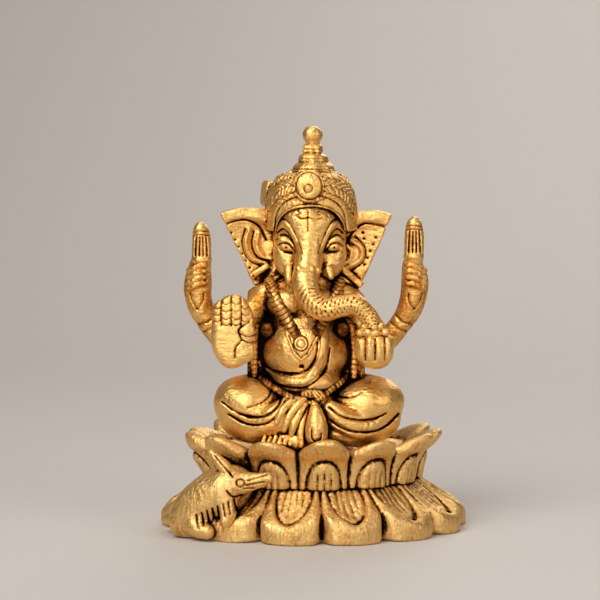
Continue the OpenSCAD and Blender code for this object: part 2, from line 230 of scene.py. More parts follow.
def cast(node, field, spacing, grow):
    """Sculpts the field on a grid that reaches grow past its CAD node's box, finely only near the skin."""
    at, size = foot(node)
    low = at - vec(size[0] / 2 + grow, size[1] / 2 + grow, grow)
    cells = np.ceil((size + 2 * grow) / (spacing * BLOCK)).astype(int)
    coarse_step = spacing * BLOCK
    axes = [low[i] + (np.arange(cells[i]) + 0.5) * coarse_step - spacing / 2 for i in range(3)]
    centres = np.stack(np.meshgrid(*axes, indexing="ij"), axis=-1).reshape(-1, 3).astype(np.float32)
    rough = field(centres - at).astype(np.float32)
    near = np.flatnonzero(np.abs(rough) < coarse_step * 1.3 + 0.5)  # the cells the skin may pass through
    grid = np.repeat(np.repeat(np.repeat(rough.reshape(cells), BLOCK, 0), BLOCK, 1), BLOCK, 2)
    inner = (np.arange(BLOCK) - (BLOCK - 1) / 2) * spacing
    offsets = np.stack(np.meshgrid(inner, inner, inner, indexing="ij"), axis=-1).reshape(-1, 3)
    block_view = grid.reshape(cells[0], BLOCK, cells[1], BLOCK, cells[2], BLOCK)
    index = np.array(np.unravel_index(near, cells)).T
    for start in range(0, len(near), BATCH):
        part = near[start : start + BATCH]
        points = (centres[part][:, None, :] + offsets[None].astype(np.float32)).reshape(-1, 3)
        ink_and_painted_shade.clear()
        values = (field(points - at) + wobble(points)).reshape(len(part), BLOCK, BLOCK, BLOCK)
        i, j, k = index[start : start + BATCH].T
        block_view[i, :, j, :, k, :] = values
    grid = block_view.reshape(cells * BLOCK)
    castings.append({"node": node, "grid": grid, "low": low, "spacing": spacing, "field": field, "at": at})


def box_blur(a, reach, passes=2):
    """A soft blur: the mean over a cube, repeated."""
    for _ in range(passes):
        for axis in range(3):
            pad = [(0, 0)] * 3
            pad[axis] = (reach + 1, reach)
            total = np.cumsum(np.pad(a, pad, mode="edge"), axis=axis, dtype=np.float32)
            n = a.shape[axis]
            upper = np.take(total, np.arange(2 * reach + 1, 2 * reach + 1 + n), axis=axis)
            lower = np.take(total, np.arange(0, n), axis=axis)
            a = (upper - lower) / (2 * reach + 1)
    return a


def sample(a, position):
    """Values of a grid at fractional cell positions, blended between the eight nearest cells."""
    top = np.array(a.shape) - 1.001
    position = np.clip(position, 0, top)
    base = position.astype(int)
    f = (position - base).astype(np.float32)
    out = np.zeros(len(position), np.float32)
    for corner in range(8):
        bit = [(corner >> s) & 1 for s in range(3)]
        weight = np.ones(len(position), np.float32)
        for s in range(3):
            weight *= f[:, s] if bit[s] else 1 - f[:, s]
        out += weight * a[base[:, 0] + bit[0], base[:, 1] + bit[1], base[:, 2] + bit[2]]
    return out


def solid_share(grid, spacing):
    return unit(0.5 - grid / spacing).astype(np.float32)


def surroundings(step=0.5, margin=3.0):
    """How much metal there is round each place on the whole statue, near and far."""
    low = vec(*(v / MM - margin for v in cad_box[0]))
    high = vec(*(v / MM + margin for v in cad_box[1]))
    count = np.ceil((high - low) / step).astype(int)
    whole = np.zeros(count, np.float32)
    for piece in castings:
        spans, picks = [], []
        for i in range(3):
            places = low[i] + np.arange(count[i]) * step
            pick = np.round((places - piece["low"][i]) / piece["spacing"]).astype(int)
            inside = (pick >= 0) & (pick < piece["grid"].shape[i])
            spans.append(np.flatnonzero(inside))
            picks.append(pick[inside])
        share = (piece["grid"][np.ix_(*picks)] < 0).astype(np.float32)
        whole[np.ix_(*spans)] = np.maximum(whole[np.ix_(*spans)], share)
    return low, step, box_blur(whole, 1), box_blur(whole, 4)


def without_specks(points, faces, smallest=100):
    """The mesh without loose specks of a few faces, which deep lines can leave between them."""
    label = np.arange(len(points))
    while True:
        lowest = label[faces].min(axis=1)
        joined = label.copy()
        np.minimum.at(joined, faces.ravel(), np.repeat(lowest, 4))
        joined = joined[joined]
        if np.array_equal(joined, label):
            break
        label = joined
    island = label[faces[:, 0]]
    faces = faces[np.bincount(island)[island] >= smallest]
    used, faces = np.unique(faces, return_inverse=True)
    return points[used], faces.reshape(-1, 4)


def skin_of(mesh):
    """The points of a mesh in millimetres, and the way its skin faces at each."""
    normals = np.zeros(len(mesh.vertices) * 3, np.float32)
    places = np.zeros(len(mesh.vertices) * 3, np.float32)
    mesh.vertex_normals.foreach_get("vector", normals)
    mesh.vertices.foreach_get("co", places)
    return places.reshape(-1, 3) / MM, normals.reshape(-1, 3)


def mesh_of(piece, around):
    """The mesh of one casting, with how inked (chased lines and painted shade), how hollow and how hemmed in
    each point of its skin is.
    """
    grid, spacing, low = piece["grid"], piece["spacing"], piece["low"]
    volume = openvdb.FloatGrid(float(spacing * 3))
    volume.copyFromArray(np.clip(grid, -spacing * 3, spacing * 3).astype(np.float32))
    points, faces = without_specks(*volume.convertToQuads(isovalue=0.0))
    mesh = bpy.data.meshes.new(piece["node"])
    mesh.vertices.add(len(points))
    mesh.vertices.foreach_set("co", ((points * spacing + low) * MM).astype(np.float32).ravel())
    mesh.loops.add(faces.size)
    mesh.loops.foreach_set("vertex_index", faces.astype(np.int32).ravel())
    mesh.polygons.add(len(faces))
    mesh.polygons.foreach_set("loop_start", np.arange(len(faces), dtype=np.int32) * 4)
    mesh.update(calc_edges=True)
    mesh.validate()
    mesh.polygons.foreach_set("use_smooth", np.ones(len(mesh.polygons), bool))
    for _ in range(2):  # settles each point on the skin, which the quads only follow roughly
        at, out = skin_of(mesh)
        off = np.clip(sample(grid, (at - low) / spacing), -0.4 * spacing, 0.4 * spacing)
        mesh.vertices.foreach_set("co", ((at - out * off[:, None]) * MM).astype(np.float32).ravel())
        mesh.update()
    at, out = skin_of(mesh)
    ink_and_painted_shade.clear()
    piece["field"](at - piece["at"])
    # the ink of chased lines together with the painted shade some pieces lay on their skin
    ink_and_shade_share = np.zeros(len(at), np.float32)
    for profile in ink_and_painted_shade:
        ink_and_shade_share = np.maximum(ink_and_shade_share, profile)
    own = box_blur(solid_share(grid, spacing), 2)
    hollow_share = sample(own, (at - low) / spacing) - 0.5
    big_low, step, near, far = around
    near_share = sample(near, (at + out * 0.5 - big_low) / step)
    far_share = sample(far, (at + out * 1.2 - big_low) / step)
    # the line layer holds painted shade as well as the ink of chased lines
    layers = {"line": ink_and_shade_share, "groove": hollow_share, "near": near_share, "far": far_share}
    for name, values in layers.items():
        layer = mesh.attributes.new(name, "FLOAT", "POINT")
        layer.data.foreach_set("value", values.astype(np.float32))
    return mesh


def polygon(q, corners):
    """Signed distance in the plane to a closed outline."""
    pts = np.array(corners, np.float32)
    d = np.full(len(q), 1e9, np.float32)
    sign = np.ones(len(q), np.float32)
    for a, b in zip(pts, np.roll(pts, 1, axis=0)):
        edge = b - a
        w = q - a
        t = unit(w @ edge / float(edge @ edge))
        d = np.minimum(d, length(w - t[:, None] * edge))
        above = q[:, 1] >= a[1]
        below_b = q[:, 1] < b[1]
        left = edge[0] * w[:, 1] > edge[1] * w[:, 0]
        flip = (above & below_b & left) | (~above & ~below_b & ~left)
        sign[flip] *= -1
    return d * sign


def rounded(corners):
    """A closed outline through the corners, with its corners rounded."""
    return smooth_path(corners + corners[:1], 3)[:-1]


def front_lines(p, d, width, depth, front, *lines, ink=1.0):
    """Lines chased into whatever faces forward of front."""
    mask = unit((front - p[:, 1]) / 1.5)
    for points in lines:
        d = chase(d, mask * bell(stroke(p, points), width), depth, ink)
    return d


def front_ridges(p, d, width, height, front, *lines):
    """Lines raised on whatever faces forward of front."""
    mask = unit((front - p[:, 1]) / 1.5)
    for points in lines:
        d = d - height * mask * bell(stroke(p, points), width)
    return d


# ---------------------------------------------------------------- the throne

THRONE, throne_size = foot("lower_lotus")
OVAL = throne_size[1] / throne_size[0]  # the throne is an oval: its depth over its width
SEAM = foot("upper_lotus")[0][2]
SEAT = foot("hips")[0][2]
RIM = throne_size[0] / 2


def round_throne(p, petals, turn):
    """Radius from the throne's middle, place across the petal (-1 to 1), and the petal's half width."""
    x, y = p[:, 0], p[:, 1] / OVAL
    radius = np.hypot(x, y)
    angle = np.degrees(np.arctan2(x, -y)) - turn
    half = 180 / petals
    across = ((angle + half) % (2 * half) - half) / half
    return radius, across, radius * math.tan(math.radians(half))


def lower_lotus(p):
    """The base: petals turned down and out, each with a chased leaf and veins, hollow beneath."""
    z = p[:, 2]
    radius, across, half_width = round_throne(p, LOWER_PETALS, -10)
    e = np.abs(across)
    between = (1 - e) * half_width
    turn = np.arctan2(p[:, 0], -p[:, 1])
    rim = RIM * (1 - 0.035 * e ** 2 - 0.06 * e ** 6) + 0.22 * np.sin(6 * turn + 1) - 0.15
    lip = 3.7 + 3.7 * e ** 1.6 + 0.3 * np.sin(4 * turn) + 0.3 * np.sin(9 * turn + 2)
    inward = unit((radius - 26.2) / (rim - 26.2))
    skin = lip + (SEAM - lip) * (1 - inward) ** 1.35 + 0.5 * bell(inward - 0.8, 0.2) * (1 - e)
    face_in = radius - rim + 1.1 * (1 - e * e) * np.clip((z - 2.4) / 4.5, -0.3, 1) ** 2
    d = clip_to(face_in * 0.93, (z - skin) * 0.76, 1.3)
    leaf = ((e / 0.7) ** 1.7 + (np.clip(inward - 0.06, 0, None) / 0.74) ** 1.7) ** (1 / 1.7) - 1
    leaf_mm = leaf * 4.6
    d = d - 0.4 * bell(leaf_mm - 1.1, 0.8)
    d = groove(d, leaf_mm, 0.34, 0.5, 0.55)
    inside = unit(-leaf_mm - 0.4)
    for vein in (-0.36, -0.13, 0.11, 0.34):
        d = chase(d, inside * bell((across - vein) * half_width, 0.26), 0.35, 0.6)
    d = groove(d, between, 0.34, 0.5, 0.55)
    d = d + 0.7 * bell(between, 1.1) * unit(inward * 2 - 0.9)
    d = clip_to(d, 1.1 * e ** 4 * unit(inward * 3 - 2) - z, 0.5)
    d = clip_to(d, z - SEAM + 0.01, 0.3)
    hollow = np.maximum((radius - rim + 3.6) * 0.95, np.maximum((z - skin + 3.8) * 0.8, z - 8.6))
    d = cut(d, hollow, 0.8)
    return cut(d, np.hypot(p[:, 0], p[:, 1]) - BOLT_HOLE)


def upper_lotus(p):
    """The seat: a cup of petals turned up and out, each with a chased arch and three veins."""
    z = p[:, 2] + SEAM
    radius, across, half_width = round_throne(p, UPPER_PETALS, 5)
    side = across * half_width
    e = np.abs(across)
    height = unit((z - SEAM) / 12)
    swollen = 2.2 * unit(-p[:, 0] / 30) ** 3 * unit(np.sin(height * math.pi))
    flare = 27 + 2.8 * height ** 1.3 + 3.8 * height ** 3.2 - (0.5 + 2.4 * height) * e ** 2.6 + swollen
    turn = np.arctan2(p[:, 0], -p[:, 1])
    rim_z = 24.3 - 2.9 * e ** 2.1 + 0.4 * np.sin(5 * turn + 1) + 0.35 * np.sin(11 * turn)
    d = (radius - flare) * 0.88
    arch = (np.abs(side / 4.3) ** 2.2 + (np.clip(z - 13, 0, None) / 6.3) ** 2.2) ** (1 / 2.2) - 1
    arch_mm = arch * 4.6
    d = d + 0.45 - 0.8 * unit(-arch_mm / 1.6) - 0.7 * unit((z - 19) / 1.5)
    d = groove(d, arch_mm, 0.34, 0.6, 0.6)
    inside = unit(-arch_mm - 0.6) * unit(17.2 - z)
    for vein in (-1.7, 0, 1.7):
        d = chase(d, inside * bell(side - vein, 0.27), 0.4, 0.6)
    between = (1 - e) * half_width
    d = groove(d, between, 0.4, 0.6, 0.6)
    d = clip_to(d, (z - rim_z) * 0.9, 3.0)
    cup = np.maximum((radius - flare + 4.8) * 0.88, SEAT - z)
    d = cut(d, cup, 2.4)
    d = clip_to(d, SEAM - z, 0.4)
    return cut(d, np.hypot(p[:, 0], p[:, 1]) - BOLT_HOLE)


def mouse(p):
    """A mouse in relief that climbs the throne: broad furred back, wedge of a snout, one ear laid back."""
    q = p + foot("mouse")[0]
    d = egg(q, (-25.2, -19.5, 8.6), (7, 5.4, 12), (0, 52, 0))
    d = join(d, limb(q, [(-31.5, -18.6, 4.4, 3), (-27.2, -20.5, 8.2, 4.8), (-22.4, -22.4, 11.8, 4.6)]), 1.5)
    muzzle = [(-21.4, -22.8, 13.2, 3.7), (-18, -24.2, 14.1, 2.9), (-14.4, -25.6, 14.9, 2),
              (-11, -26.6, 15.8, 1.3)]
    ear_back = [(-19, -24, 15, 1.3), (-21.8, -23, 17.8, 1.6), (-25.2, -21.6, 21.4, 0.8)]
    fore_leg = [(-22, -24, 10.4, 2.6), (-21, -25.6, 7.4, 2.2), (-21.4, -26.6, 5, 1.7)]
    hind_leg = [(-28, -21.5, 5.4, 3), (-28.6, -23.8, 3.2, 2.4), (-26, -25.6, 2.4, 1.8)]
    tail = [(-31, -18.5, 4.4, 2.4), (-34.6, -16, 4, 1.7), (-36.8, -13.6, 3.5, 1.1)]
    for balls, blend in ((muzzle, 0.9), (ear_back, 0.5), (fore_leg, 1.8), (hind_leg, 1.2), (tail, 1)):
        d = join(d, limb(q, balls), blend)
    front = unit((-16 - q[:, 1]) / 2)
    ring = np.hypot(q[:, 0] + 17.9, q[:, 2] - 14.5)
    d = chase(d, front * bell(ring - 0.95, 0.24), 0.35)
    d = front_lines(q, d, 0.24, 0.35, -18,
                    [(-16.2, 15.1), (-11.6, 16.6)], [(-19.8, 15.8), (-24.2, 20.6)],
                    [(-17, 13.1), (-14.6, 13.3)], [(-21.2, 12.6), (-19.8, 11.2), (-17.6, 11.2)],
                    [(-16.6, 14), (-12.2, 14.9)])
    for k in range(8):
        x, z = -28.6 + 1.3 * k, 6.4 + 0.6 * k
        d = front_lines(q, d, 0.24, 0.4, -18, [(x, z), (x + 0.5, z - 3)])
    along = (q[:, 0] + 25) * 0.62 + (q[:, 2] - 9) * 0.79
    over = (q[:, 2] - 9) * 0.62 - (q[:, 0] + 25) * 0.79
    row = np.floor(along / 1.5 + 0.3 * np.sin(over))
    hair = np.abs(((over / 0.8 + 0.37 * row + 0.5 * along) % 1) - 0.5)
    fur = front * bell(hair, 0.2) * (0.6 + 0.4 * np.sin(row * 2.3 + over))
    back = unit((over + 0.4) / 1.2) * unit((5.6 - along) / 1.5)
    d = chase(d, fur * back, 0.14, 0.55)
    return clip_to(d, -q[:, 2] + 0.3, 0.3)


# ---------------------------------------------------------------- lap and legs

LAP = foot("hips")[0]


def hips(p):
    """The seat of the figure and the cloth that fills the crotch, with its gathered folds."""
    d = egg(p, (0, 0.5, 7), (13.4, 11.6, 8.6))
    d = join(d, egg(p, (0, 1, 12), (10.4, 9, 5)), 2)
    d = join(d, egg(p, (-0.2, -10.4, 8.6), (8, 6.6, 8.4)), 2)
    for k in range(5):
        top = (-0.6 - 1.3 * k, 14.6 - 0.25 * k)
        d = front_lines(p, d, 0.34, 0.6, -8, [top, (top[0] - 0.7, 12), (top[0] - 3, 8.6)])
    folds = np.sin(np.degrees(np.arctan2(p[:, 0], p[:, 1])) * 0.22)
    d = d - 0.25 * folds * unit(p[:, 1] / 4)
    return clip_to(d, -p[:, 2], 0.4)


def folded_leg(p, thigh, knee, radii, tilt, calf, shin):
    """A leg folded flat: thigh, swelling knee, calf and the shin under it."""
    d = join(limb(p, thigh), egg(p, knee, radii, (0, tilt, 0)), 2.4)
    d = join(d, limb(p, calf), 0.9)
    return join(d, limb(p, shin), 0.5)


def right_leg(p):
    """The figure's right leg, with cloth folds drawn round the knee."""
    thigh = [(-5, 3, 9, 6.2), (-11, 0.4, 11.6, 6.8), (-16.6, -3.6, 11.8, 6.2), (-17.8, -6.5, 11, 5.2)]
    calf = [(-17, -8.5, 8.2, 4.8), (-12, -13, 7.2, 4.4), (-7.4, -15.6, 9.4, 3.7), (-5, -15.6, 13, 2)]
    shin = [(-16, -9, 5.6, 3.2), (-11, -13, 5, 3), (-7.6, -14.4, 5.2, 2.2)]
    d = folded_leg(p, thigh, (-14, -8.4, 11.9), (8.9, 7.8, 6.3), 14, calf, shin)
    d = front_lines(p, d, 0.32, 0.75, 2,
                    [(-21, 12.8), (-17.6, 10.6), (-13.5, 9.5), (-9.9, 10.3), (-7.3, 12.4), (-6.4, 14.6)])
    d = front_lines(p, d, 0.32, 0.7, 0, [(-19.4, 9.8), (-15, 7.8), (-10.4, 8.2), (-7.3, 10.5), (-5.6, 13.6)])
    d = front_lines(p, d, 0.22, 0.35, 0, [(-8.8, 15.8), (-10, 13.9), (-12.4, 12.5), (-14.8, 11.8)])
    return clip_to(d, -p[:, 2] + 0.6, 0.5)


def left_leg(p):
    """The figure's left leg, with cloth folds drawn over the shin."""
    thigh = [(5, 3, 9, 6.2), (11.5, 0.4, 11.6, 6.8), (16.6, -3.6, 11.8, 6.2), (18, -6.5, 11, 5.2)]
    calf = [(18.4, -7.5, 8.2, 4.6), (13.4, -12.8, 6.8, 4.2), (8.6, -15.2, 8.6, 3.4), (5.6, -15.4, 11.6, 2)]
    shin = [(17.6, -8, 5.8, 3.4), (12, -12.8, 4.6, 3), (7, -14.6, 5.2, 2.2)]
    d = folded_leg(p, thigh, (14.2, -8.4, 11.6), (9.3, 7.8, 6.2), -14, calf, shin)
    d = front_lines(p, d, 0.22, 0.4, 0, [(5.4, 14.2), (8.7, 13.9), (11.4, 14.4), (13.1, 15.3)])
    d = front_lines(p, d, 0.28, 0.6, 0, [(5, 12), (8.2, 9.9), (12.8, 8.9), (16, 9), (19, 10.2)])
    d = front_lines(p, d, 0.34, 0.75, 0,
                    [(5.4, 8.8), (8, 7.2), (11, 6.2), (15.4, 5.9), (19, 6.9), (22.1, 9.5)])
    return clip_to(d, -p[:, 2] + 0.6, 0.5)


def right_foot(p):
    """The foot under the right calf: toes in a row, and the drape's end above them in narrow folds."""
    d = limb(p, [(-9.6, -15.4, 4.2, 1.5), (-6.4, -16.6, 4, 1.8), (-2.6, -17.6, 3.8, 2.1)])
    for k in range(6):
        x = -11 + 1.32 * k
        tall = 4.9 - 0.22 * (k % 2)
        toe = limb(p, [(x + 0.5, -17 - 0.26 * k, tall, 0.6), (x, -18 - 0.28 * k, 3.4, 0.7)], 1)
        d = join(d, toe, 0.1)
    for fold in (
        [(-1.2, -16, 14.8, 0.8), (-4, -17.2, 13.6, 1), (-6.4, -18.8, 11.2, 1), (-7.8, -18.9, 8.4, 0.7)],
        [(-1, -16.6, 13.8, 0.8), (-3, -17.8, 12.2, 1), (-4.9, -18.6, 9.6, 1), (-5.9, -18.4, 6.8, 0.7)],
        [(-0.8, -17, 12.6, 0.8), (-2.1, -18, 10.6, 1), (-3.5, -18.6, 7.8, 1), (-4.1, -18.2, 5.2, 0.7)],
        [(-0.4, -17, 11.4, 0.8), (-1.2, -18, 8.8, 0.9), (-1.9, -18.6, 6, 0.9), (-1.8, -19, 3.2, 0.9)],
    ):
        cloth = limb(p, fold)
        ink_and_painted_shade.append(0.7 * bell(d - cloth, 0.4) * (cloth < 0.5))
        d = join(d, cloth, 0.2)
    return clip_to(d, -p[:, 2] + 0.8, 0.5)


def left_foot(p):
    """The left foot in the middle of the lap, a long drop shape with the big toe's nail at its tip."""
    d = limb(p, [(1.5, -17, 12.6, 0.9), (1.8, -18.2, 10, 2), (2, -18.5, 7.4, 2.8), (2, -18.6, 5.4, 2.7)])
    d = front_lines(p, d, 0.22, 0.35, -15, [(0.8, 7.2), (0.9, 5), (1.9, 4.2), (3, 4.8), (3.1, 6)])
    return clip_to(d, -p[:, 2] + 0.8, 0.5)


# ---------------------------------------------------------------- torso

BODY = foot("torso")[0] + vec(0, 0, 4)  # the middle of the waist


def belly_and_chest(p):
    d = egg(p, (0.3, -1.2, 9), (11, 11.2, 8.9))
    d = join(d, egg(p, (1, -5.2, 1.8), (8.2, 8, 4.4)), 1.6)
    d = join(d, egg(p, (0, 0.8, 19.6), (10, 7.8, 7.4)), 3)
    for side in (-1, 1):
        d = join(d, egg(p, (side * 4.6, -4.4, 21), (4.6, 3.6, 3.6)), 1.4)
    d = join(d, egg(p, (0, 2, 23.6), (11.2, 5.4, 4)), 2)
    return join(d, limb(p, [(0, 0, 22, 6), (0.6, 0.6, 28, 5.4)]), 2)


def torso(p):
    """Belly and chest, and the webs of metal that fill the space up to the front arms, with painted shade on
    the webs, beside the chest, under the trunk and on the bosses.
    """
    d = belly_and_chest(p)
    x, z = p[:, 0], p[:, 2]
    # painted shade beside the chest towards the front arms, and under the trunk
    beside = unit((np.abs(x) - 5.6) / 2.5) * unit((z - 9) / 3) * unit((25 - z) / 3)
    shade_under_trunk = bell(x - 0.5, 4.5) * bell(z - 19.5, 4.5)
    ink_and_painted_shade.append((0.85 * beside + 0.6 * shade_under_trunk) * (p[:, 1] < 0))
    for side in (-1, 1):
        web = limb(p, [(side * 11, 1, 21, 4), (side * 12.4, 0, 12, 4.6), (side * 12, -0.5, 2.5, 4.4)])
        # painted shade: the web is darkened as the shade between the body and the front arm
        ink_and_painted_shade.append(0.7 * unit(1 - np.abs(web)) * (p[:, 1] < 1))
        d = join(d, web, 0.8)
        cord = [(side * 11.6, -3.8, 15, 0.9), (side * 12.4, -4.6, 9, 1), (side * 12.2, -4.8, 3, 0.9)]
        near, along = nearest_on(p, smooth_path(cord))
        rings = unit(np.sin(along * 60)) * unit(1.2 - np.abs(near) / 0.4)
        ink_and_painted_shade.append(0.5 * unit(1 - np.abs(near)))
        d = join(d, chase(near, rings, 0.25), 0.15)
        boss = egg(p, (side * 9.2, -6, 14.6), (1.6, 1.3, 1.8))
        # painted shade on the boss, which sits in the shade beside the chest
        ink_and_painted_shade.append(1.1 * (boss < 0.6))
        d = join(d, boss, 0.6)
    navel = np.hypot(x + 0.7, z - 6.2)
    d = chase(d, bell(navel, 0.55) * (p[:, 1] < 0), 0.8)
    fold = [(-9.8, 5.6), (-7, 4.6), (-3, 4.3), (0.4, 5.2), (2.6, 8.2), (3.2, 12)]
    crease = [(-10.8, 3.2), (-7, 1.6), (-3, 1), (1, 1.6), (5, 5.2), (6.2, 10.6)]
    d = front_lines(p, d, 0.26, 0.4, 0, fold)
    d = front_lines(p, d, 0.3, 0.45, 0, crease)
    spine = bell(x, 1.1) * unit(p[:, 1] / 3)
    d = d + 0.5 * spine
    return clip_to(d, -z - 3.9, 0.4)


def sacred_thread(p):
    """A broad smooth band that hangs from the left shoulder and rounds the belly."""
    skin = belly_and_chest(p)
    off = stroke(p, [(-10.4, 4.5), (-8, 3.2), (-3.6, 2.6), (0.6, 3.3), (3.7, 6.8), (4.7, 11), (5.2, 20)])
    d = clip_to(np.abs(skin) - 0.7, off - 1.1, 0.9)
    return np.maximum(d, p[:, 1] + 1)


def garland(p):
    """A twisted rope from each shoulder to the pendant."""
    skin = belly_and_chest(p)
    d = None
    for path in ([(-9.4, 27.5), (-8.2, 24.6), (-5.4, 19.2), (-2.2, 14.2)],
                 [(9.6, 28), (8.2, 24), (6, 19.4), (3.2, 15)]):
        near, along = nearest_on(p[:, [0, 2]], smooth_path(path))
        rope = np.sqrt(near ** 2 + ((skin - 0.4) * 1.1) ** 2) - 1.6
        rings = bell((along * 15 + 0.1 * near) % 1 - 0.5, 0.15)
        rope = chase(rope, rings * (p[:, 1] < 0), 0.2, 1.2)
        d = rope if d is None else np.minimum(d, rope)
    return np.maximum(d, p[:, 1] + 1)


def pendant(p):
    """A pointed cloth end under the rope, with a round boss of two rings."""
    skin = belly_and_chest(p)
    corners = [(-4.6, 14.4), (-2.8, 10), (-0.9, 7.9), (1, 9.4), (3.6, 14.4), (2.6, 18), (-2.6, 17.4)]
    shield = polygon(p[:, [0, 2]], corners) - 0.4
    d = clip_to(np.abs(skin - 0.3) - 0.75, shield, 0.6)
    r = np.hypot(p[:, 0] + 0.9, p[:, 2] - 12)
    boss = clip_to(np.abs(skin - 0.6) - 1.0, r - 2.1, 0.8)
    d = join(d, boss, 0.2)
    for ring in (1, 1.8):
        d = groove(d, r - ring, 0.22, 0.25)
    d = chase(d, bell(shield + 0.8, 0.22) * unit((14.4 - p[:, 2]) / 0.8), 0.25)
    return np.maximum(d, p[:, 1] + 1)


def lap_and_belly(p):
    """The skin under the belt: the folded legs, the hips and the belly, in torso coordinates."""
    lap = p + BODY - LAP
    legs = np.minimum(right_leg(lap), left_leg(lap))
    return join(legs, join(hips(lap), belly_and_chest(p), 3), 4)


def waist_belt(p):
    """Two twisted cords that meet low over the lap, with an eye-shaped buckle above them."""
    skin = lap_and_belly(p)
    ink_and_painted_shade.clear()
    d = np.full(len(p), 99, np.float32)
    for path in ([(-14.6, 6.4), (-11, 3.2), (-7.4, 0.8), (-3, -1.1), (1.4, -2.4)],
                 [(1.4, -2.4), (4.6, -0.8), (8.6, 1.8), (11.4, 3.8), (13.7, 5.8)]):
        near, along = nearest_on(p[:, [0, 2]], smooth_path(path))
        twist = bell((along * 19 + 0.35 * near) % 1 - 0.5, 0.2)
        cord = np.sqrt(near ** 2 + (skin + 0.05) ** 2) - 0.72
        ink_and_painted_shade.append(0.35 * unit(1 - np.abs(cord)))
        d = np.minimum(d, chase(cord, twist, 0.12, 1.1))
    buckle = np.hypot((p[:, 0] - 2) / 2.7, (p[:, 2] + 0.2) / 1.1) - 1
    plate = clip_to(np.abs(skin - 0.2) - 0.7, buckle, 0.5)
    ink_and_painted_shade.append(0.5 * bell(buckle, 0.25))
    d = join(d, plate, 0.2)
    d = np.where(p[:, 1] < -2, d, 99)
    return join(d, np.where(p[:, 1] > -5, hoop(p, (0, 0, 1.6), 9.4, 1.1), 99), 0.4)


# ---------------------------------------------------------------- head

HEAD = foot("head")[0] + vec(0, 0, 14)  # between the eyes' outer corners, on the head's axis
TRUNK = [(0.1, -4.6, 3.6, 5.4), (0, -7.8, -1.6, 3.6), (-0.3, -10, -6, 3.3), (-0.9, -12.2, -10, 3.15),
         (0.4, -14.2, -13.8, 3), (3.8, -15.8, -16, 2.85), (7.7, -16.8, -15.3, 2.6),
         (11.1, -17.4, -14.9, 2.45), (13.9, -17.8, -17.2, 2.3), (15.5, -18.2, -20, 2.1)]


def trunk_shape(p):
    return nearest_on(p, smooth_path(TRUNK, 10))


def skull(p):
    d = egg(p, (0.2, 0.4, 0.6), (9.2, 9.2, 9.8))
    d = join(d, egg(p, (0.2, -3, 4.4), (7.6, 6.6, 6)), 2)
    for side in (-1, 1):
        d = join(d, egg(p, (0.2 + side * 5.4, -4.4, -4.4), (3.6, 4.2, 5), (0, side * 12, 0)), 1.6)
    return d


def face(p):
    """The skull with its brows, eyes and the mark on the forehead."""
    d = skull(p)
    for side in (-1, 1):
        m = p.copy()
        m[:, 0] = (p[:, 0] - 0.3) * side
        d = cut(d, egg(m, (6, -9.3, -0.6), (3, 1.6, 2.1), (0, -20, 0)), 1.4)
        d = join(d, egg(m, (5.9, -7.5, 0), (2.2, 1.2, 1.1), (0, -24, 0)), 0.5)
        d = join(d, egg(m, (5.9, -7.9, -1.4), (1.75, 1.35, 1.1), (0, -16, 0)), 0.25)
        brow = [(8, 2.9), (6.9, 4.3), (5.4, 3.4), (3.9, 0.6), (2.7, -2.6)]
        over_brow = [(8.1, 4), (6.8, 5.4), (4.9, 4.2), (3.1, 0.6), (1.8, -2.8)]
        under_brow = [(8, 1.9), (6.7, 2.9), (5.3, 2), (4.2, -0.2), (3.1, -2.8)]
        fold = [(8.2, 0.1), (7, 1.3), (5.6, 1.2), (4.3, -0.3), (3.3, -2.5)]
        upper_lid = [(8, -1.2), (6.9, -0.5), (5.6, -0.5), (4.4, -1.5), (3.6, -2.7)]
        lower_lid = [(7.6, -2), (6.4, -2.6), (5, -2.7), (3.8, -3)]
        d = front_ridges(m, d, 0.75, 0.5, -2, brow)
        d = front_lines(m, d, 0.24, 0.35, -2, over_brow)
        d = front_lines(m, d, 0.22, 0.3, -2, under_brow, ink=0.8)
        d = front_lines(m, d, 0.2, 0.25, -2, fold, ink=0.8)
        d = front_lines(m, d, 0.22, 0.25, -2, upper_lid)
        d = front_lines(m, d, 0.18, 0.1, -2, lower_lid, ink=0.5)
        pupil = np.hypot(m[:, 0] - 5.9, p[:, 2] + 1.5)
        d = chase(d, bell(pupil, 0.42, 4) * (p[:, 1] < -3), 0.14, 1)
        d = front_ridges(m, d, 0.4, 0.35, -1, [(6.4, -5.9), (5.2, -5.4), (4, -6.2)])
    return front_lines(p, d, 0.27, 0.26, -3,
                       [(-3.4, 6.4), (-2, 5.6), (-0.2, 5.9), (1.6, 5.5), (3.2, 5.8)],
                       [(-0.2, 7.4), (-0.3, 5), (-0.3, 2.6)],
                       [(-2.6, 7.4), (-2.2, 6.8), (-2.9, 6.6)],
                       [(2.4, 7.4), (2, 6.7), (2.7, 6.5)], ink=1.1)


def head(p):
    nose = trunk_shape(p)[0]
    d = join(face(p), nose, 2.2)
    d = cut(d, np.maximum(nose + 0.8, p[:, 2] + 6.5), 0.1)
    neck = limb(p, [(0, 0, -8, 5.4), (0, 0, -12, 5)])
    return join(d, neck, 0.6)


